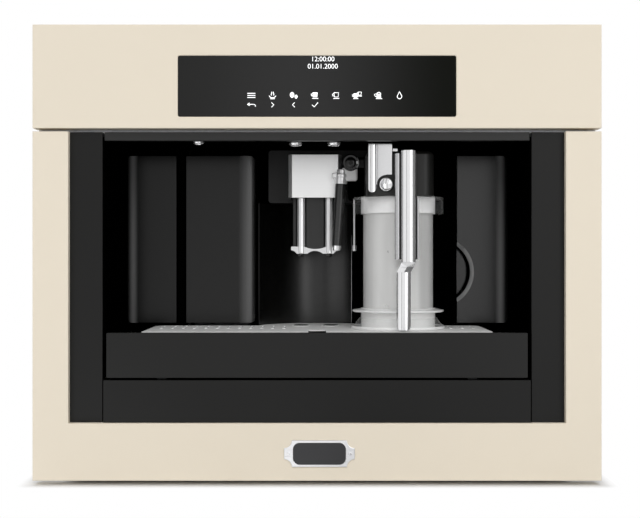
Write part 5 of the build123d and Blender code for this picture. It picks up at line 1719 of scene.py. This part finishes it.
    def handle(self) -> None:
        """Builds the rounded upper bar with its waist, the lower bar, and the two flanks."""
        space = Extent.of("jug_handle")
        right, back = self.bar_left + self.bar_width, space.front + self.bar_depth
        upper = curved_front("handle_bar_upper", (self.bar_left, right), (space.front, back),
                             (self.waist, space.top), 0, self.bar_reach, self.bar_fall)
        fit(round_off(upper, self.bar_edge, 2, lambda middle, way: abs(way.z) < 0.5), CHROME, "jug_handle",
            instead=True, smooth=self.bar_smooth)
        gem = block("handle_waist", (self.bar_left, right), (space.front, back),
                    (self.waist - self.waist_drop * self.gem_level, self.waist))
        with Bench(gem) as bench:
            for level, shift, pinch in self.gem_steps:
                bench.faces(lambda middle, normal: normal.z < -ALONG)
                if level:
                    bpy.ops.mesh.extrude_region_move()
                bpy.ops.transform.translate(value=(-shift * MM, pinch * MM, -level * MM))
        fall_away(gem, space.front, back, self.bar_reach, self.bar_fall, steps=1)
        fit(gem, CHROME, "jug_handle", instead=True, smooth=self.gem_smooth)
        x = (self.bar_left - self.waist_shift, right - self.waist_shift)
        y = (space.front + self.waist_back, back + self.waist_back)
        lower = curved_front("handle_bar_lower", x, y, (space.bottom, self.waist - self.waist_drop), 0,
                             self.bar_reach, self.bar_fall)
        cornered(lower, x, y, (space.bottom, self.waist), self.bar_end,
                 lambda middle: middle.z < space.bottom + self.near)
        fit(round_off(lower, self.flank_edge, 2), CHROME, "jug_handle", instead=True, smooth=self.bar_smooth)
        for name, x, span in (("handle_flank_left", self.flank_left, self.flank_span),
                              ("handle_flank_right", self.flank_right, self.flank_low_span)):
            flank = block(name, x, (self.flank_front, self.flank_back), span)
            round_off(flank, (x[1] - x[0]) * 0.3, 4, lambda middle, way: abs(way.z) > ALONG)
            fit(round_off(flank, self.flank_edge, 2), DIM_CHROME, "jug_handle", instead=True)


@dataclass
class MilkSpout(Assembly):
    """The swivelling milk spout: black hub with a painted glint, hazy elbow, chrome collar, black tube and
    tip.
    """

    hub_ring: Profile = ((6.4, 0.0), (9.5, 0.0), (9.5, 11.8), (8.3, 13.0), (6.4, 13.0))
    hub_core: Profile = ((6.2, 0.4), (6.2, 12.0), (5.2, 12.6), (1.4, 12.6), (1.2, 11.4))
    hub_glint_from: float = 7.13
    elbow: tuple[Flat, Flat] = ((28.0, 45.5), (325.0, 341.0))
    elbow_depth: float = 10.0
    elbow_round: float = 3.0
    outlet: Point = (26.8, -116.0, 321.8)
    tilt: float = 3.9
    collar_rise: float = 16.5
    collar: Profile = ((4.015, 0.0), (5.84, 0.6), (6.278, 5.0), (7.3, 6.0), (7.3, 8.6), (6.716, 9.4),
                       (6.716, 15.5), (6.132, 16.5))
    tube: Profile = ((6.4, 0.0), (6.4, 4.0), (5.4, 69.5))
    tip: Profile = ((5.184, 69.5), (4.968, 73.21), (4.32, 74.8), (2.7, 74.8), (2.7, 70.0))
    latch: tuple[Flat, Flat, Flat] = ((16.8, 23.0), (-120.0, -113.0), (328.6, 334.2))
    latch_edge: float = 1.0
    hub_centre: Flat = (37.4, 345.5)

    def build(self) -> None:
        """Builds the spout from its hub down to its tip."""
        space = Extent.of("milk_spout")
        hub = Vector((self.hub_centre[0], space.back, self.hub_centre[1]))
        node = "milk_spout"
        ring = turned("milk_hub_ring", hub, self.hub_ring, FORWARD, 64, ring=True)
        fit(ring, GLOSS_BLACK, node, instead=True)
        # painted glint: the ring's right side in hazy plastic, where a clear ring catches the light
        accent(ring, HAZY, lambda middle, normal: middle.x > hub.x + self.hub_glint_from)
        fit(turned("milk_hub_core", hub, self.hub_core, FORWARD), GLOSS_BLACK, node, instead=True)
        x, z = self.elbow
        middle = self.outlet[1]
        elbow = block("milk_elbow", x, (middle - self.elbow_depth / 2, middle + self.elbow_depth / 2), z)
        round_off(elbow, self.elbow_round, 5)
        fit(elbow, HAZY, node, instead=True)
        way = Vector((-math.sin(math.radians(self.tilt)), 0.0, -math.cos(math.radians(self.tilt))))
        start = Vector(self.outlet)
        collar = turned("milk_collar", start - way * self.collar_rise, self.collar, way, 64)
        fit(collar, SATIN_CHROME, node, instead=True)
        latch = round_off(block("milk_latch", *self.latch), self.latch_edge)
        fit(latch, SATIN_CHROME, node, instead=True)
        fit(turned("milk_outlet", start, self.tube, way), HOSE, node, instead=True)
        fit(turned("milk_tip", start, self.tip, way), CHROME, node, instead=True)


# ------------------------------------------------------------------ casing and works
@dataclass
class Casing(Assembly):
    """The zinc-coated casing with its screws, its runners, feet and connections."""

    screw: Profile = ((3.4, -0.3), (3.4, 0.6), (2.89, 1.2), (1.989, 1.5), (1.53, 1.35), (1.53, 0.45),
                      (0.2, 0.375))
    margin: float = 9.0

    def build(self) -> None:
        """Dresses the casing and drives its screws."""
        dress(ZINC, "runner_outers", "runner_middles", "runner_inners", "chassis_front", "base_pan",
              "side_casings", "back_cover", "top_cover")
        dress(RUBBER, "feet")
        dress(BLACK, "power_inlet")
        dress(GLOSS_BLACK, "main_switch")
        back, side, top = Extent.of("back_cover"), Extent.of("side_casings"), Extent.of("top_cover")
        near = self.margin
        self.screws("back_cover", -FORWARD, [
            Vector((x, back.back, z)) for x in (back.left + near, back.middle.x, back.right - near)
            for z in (back.bottom + near, back.middle.z, back.top - near)
            if (x, z) != (back.middle.x, back.middle.z)])
        self.screws("top_cover", UP, [
            Vector((x, y, top.top)) for x in (top.left + near, top.right - near)
            for y in (top.front + near, top.middle.y, top.back - near)])
        for word, x, way in (("left", side.left, -RIGHT), ("right", side.right, RIGHT)):
            self.screws("side_casings", way, [
                Vector((x, y, z)) for y in (side.front + near, side.back - near)
                for z in (side.middle.z, side.top - near)], "_" + word)

    def screws(self, node: str, way: Vector, places: Sequence[Vector], word: str = "") -> None:
        """Drives socket screws into a cover.

        Args:
            node: the cover.
            way: the direction that their heads face.
            places: where they are, on the cover's outer face.
            word: what tells this row of screws from others in the cover.
        """
        first = turned(f"{node}_screws{word}", places[0], self.screw, way, 24)
        fit(repeated(first, [place - places[0] for place in places[1:]]), STEEL, node)


@dataclass
class Works(Assembly):
    """Brewing works, hoppers and boards inside and on top of the casing."""

    def build(self) -> None:
        """Dresses the works."""
        dress(GREY, "infuser", "brew_drive")
        dress(ALUMINIUM, "grinder", "boilers")
        dress(STEEL, "pump")
        dress(GREEN, "control_board", "power_board")
        dress(SMOKED, "bean_hopper", "hopper_lid")
        dress(BLACK, "preground_funnel", "funnel_lid")
        dress(DARK, "grind_knob")


# ------------------------------------------------------------------ studio
@dataclass
class Studio:
    """A pale floor, plain soft light and the camera."""

    lens: float = 67.06
    sensor: float = 36.0
    clip: Flat = (0.01, 50.0)
    eye: Point = (3.1, -1456.0, 237.6)
    ambient: float = 0.32
    floor_colour: Colour = (0.9, 0.9, 0.9)
    floor_half: float = 1.5
    footprint: Flat = (300.0, 206.0)
    shade_reach: float = 16.0
    lamps: tuple[tuple[str, Point, float, float], ...] = (
        ("key", (-0.1, -1.0, 0.8), 55.0, 1.25),
        ("left", (-1.0, -1.3, 0.1), 50.0, 0.2),
        ("right", (1.2, -1.3, 0.1), 50.0, 0.8),
        ("top", (0.1, 0.3, 1.2), 60.0, 0.7),
        ("rear", (-0.5, 1.2, 0.6), 60.0, 0.9),
    )
    sky: tuple[Flat, ...] = ((-1.0, 0.7), (-0.6, 0.95), (-0.34, 0.9), (-0.29, 0.15), (-0.26, 0.15),
                             (-0.22, 0.7), (-0.1, 0.8), (0.1, 0.88), (0.2, 1.2), (0.38, 2.4), (0.58, 2.4),
                             (0.66, 0.4), (0.8, 0.15), (0.95, 0.05), (1.0, 0.05))
    ground: tuple[Flat, ...] = ((-1.0, 1.4), (-0.15, 1.5), (0.0, 1.0), (0.15, 0.35), (1.0, 0.35))
    dusk: Flat = (-0.14, -0.01)
    behind: Flat = (-0.2, 0.5)
    centre_height: float = 200.0

    def build(self) -> None:
        """Sets up the studio."""
        self.room()
        self.floor()
        for name, way, spread, strength in self.lamps:
            self.soft_sun(name, Vector(way), spread, strength)
        self.camera()

    def seen(self, maker: Maker) -> Value:
        """Returns 1 for rays that show the background itself."""
        return (maker.ray("Camera") + maker.ray("Glossy") + maker.ray("Transmission")).between(0.0, 1.0)

    def mirrored(self, maker: Maker, way: Value) -> Value:
        """Returns how bright the studio looks in a mirror, by the direction from the machine."""
        across = maker.part(way, "X")
        back = maker.part(way, "Y").between(*self.behind)
        below = 1.0 - maker.part(way, "Z").between(*self.dusk)
        front = maker.ramp(across, self.sky) * (1.0 + (maker.ramp(across, self.ground) - 1.0) * below)
        return front + (1.0 - front) * back

    def room(self) -> None:
        """Makes the world: white to look at, softer as a light, dim behind the camera."""
        world = bpy.data.worlds.new("studio")
        bpy.context.scene.world = world
        world.use_nodes = True
        maker = Maker(world.node_tree)
        mirror = self.mirrored(maker, maker.node("ShaderNodeTexCoord", output="Generated"))
        eye, shown = maker.ray("Camera"), self.seen(maker)
        level = eye + (shown - eye) * mirror + (1.0 - shown) * self.ambient
        light = maker.node("ShaderNodeBackground", {}, {"Color": WHITE, "Strength": level})
        maker.node_out("ShaderNodeOutputWorld", light)

    def floor(self) -> None:
        """Lays the floor, white far out and shaded near the machine."""
        select_none()
        bpy.ops.mesh.primitive_plane_add(size=2.0 * self.floor_half)
        floor = named("floor")
        paint = bpy.data.materials.new("floor_paint")
        paint.use_nodes = True
        maker = Maker(paint.node_tree)
        edge = (self.footprint[0] * MM, self.footprint[1] * MM, 0.0)
        past = maker.vector("SUBTRACT", maker.vector("ABSOLUTE", maker.here()), edge)
        reach = maker.vector("LENGTH", maker.vector("MAXIMUM", past, (0.0, 0.0, 0.0)), output="Value")
        away = reach.between(0.0, self.shade_reach * MM) * self.seen(maker)
        matt = maker.node("ShaderNodeBsdfDiffuse", {}, {"Color": self.floor_colour})
        centre = (0.0, 0.0, self.centre_height * MM)
        way = maker.vector("NORMALIZE", maker.vector("SUBTRACT", maker.here(), centre))
        level = 1.0 + (self.mirrored(maker, way) - 1.0) * maker.ray("Glossy")
        white = maker.node("ShaderNodeEmission", {}, {"Color": WHITE, "Strength": level})
        mixed = maker.node("ShaderNodeMixShader", {}, {0: away, 1: matt, 2: white})
        maker.node_out("ShaderNodeOutputMaterial", mixed)
        floor.data.materials.append(paint)

    def soft_sun(self, name: str, way: Vector, spread: float, strength: float) -> None:
        """Adds one even soft light, which mirrors don't show.

        Args:
            name: the light's name.
            way: the direction that it comes from.
            spread: how wide it looks, in degrees.
            strength: its power in watts to the square metre.
        """
        light = bpy.data.lights.new(name, "SUN")
        light.energy, light.angle = strength, math.radians(spread)
        lamp = bpy.data.objects.new(name, light)
        bpy.context.scene.collection.objects.link(lamp)
        lamp.rotation_euler = way.to_track_quat("Z", "Y").to_euler()
        lamp.visible_glossy = False

    def camera(self) -> None:
        """Stands the camera where the photograph was taken."""
        select_none()
        bpy.ops.object.camera_add(location=[part * MM for part in self.eye],
                                  rotation=(math.radians(90.0), 0.0, 0.0))
        eye = bpy.context.object
        eye.name = "camera"
        eye.data.lens, eye.data.sensor_width = self.lens, self.sensor
        eye.data.clip_start, eye.data.clip_end = self.clip
        bpy.context.scene.camera = eye


def main() -> None:
    """Builds the machine and the studio."""
    logging.basicConfig(level=logging.INFO, format="%(name)s: %(message)s", force=True)
    bpy.context.scene.view_settings.view_transform = "Standard"
    for assembly in (CreamPanels(), Display(), Badge(), Niche(), DripTray(), CoffeeSpout(),
                     ServiceBays(), MilkJug(), MilkSpout(), Casing(), Works()):
        log.info("building %s", type(assembly).__name__)
        assembly.build()
    Studio().build()
    select_none()


if __name__ == "__main__":
    main()
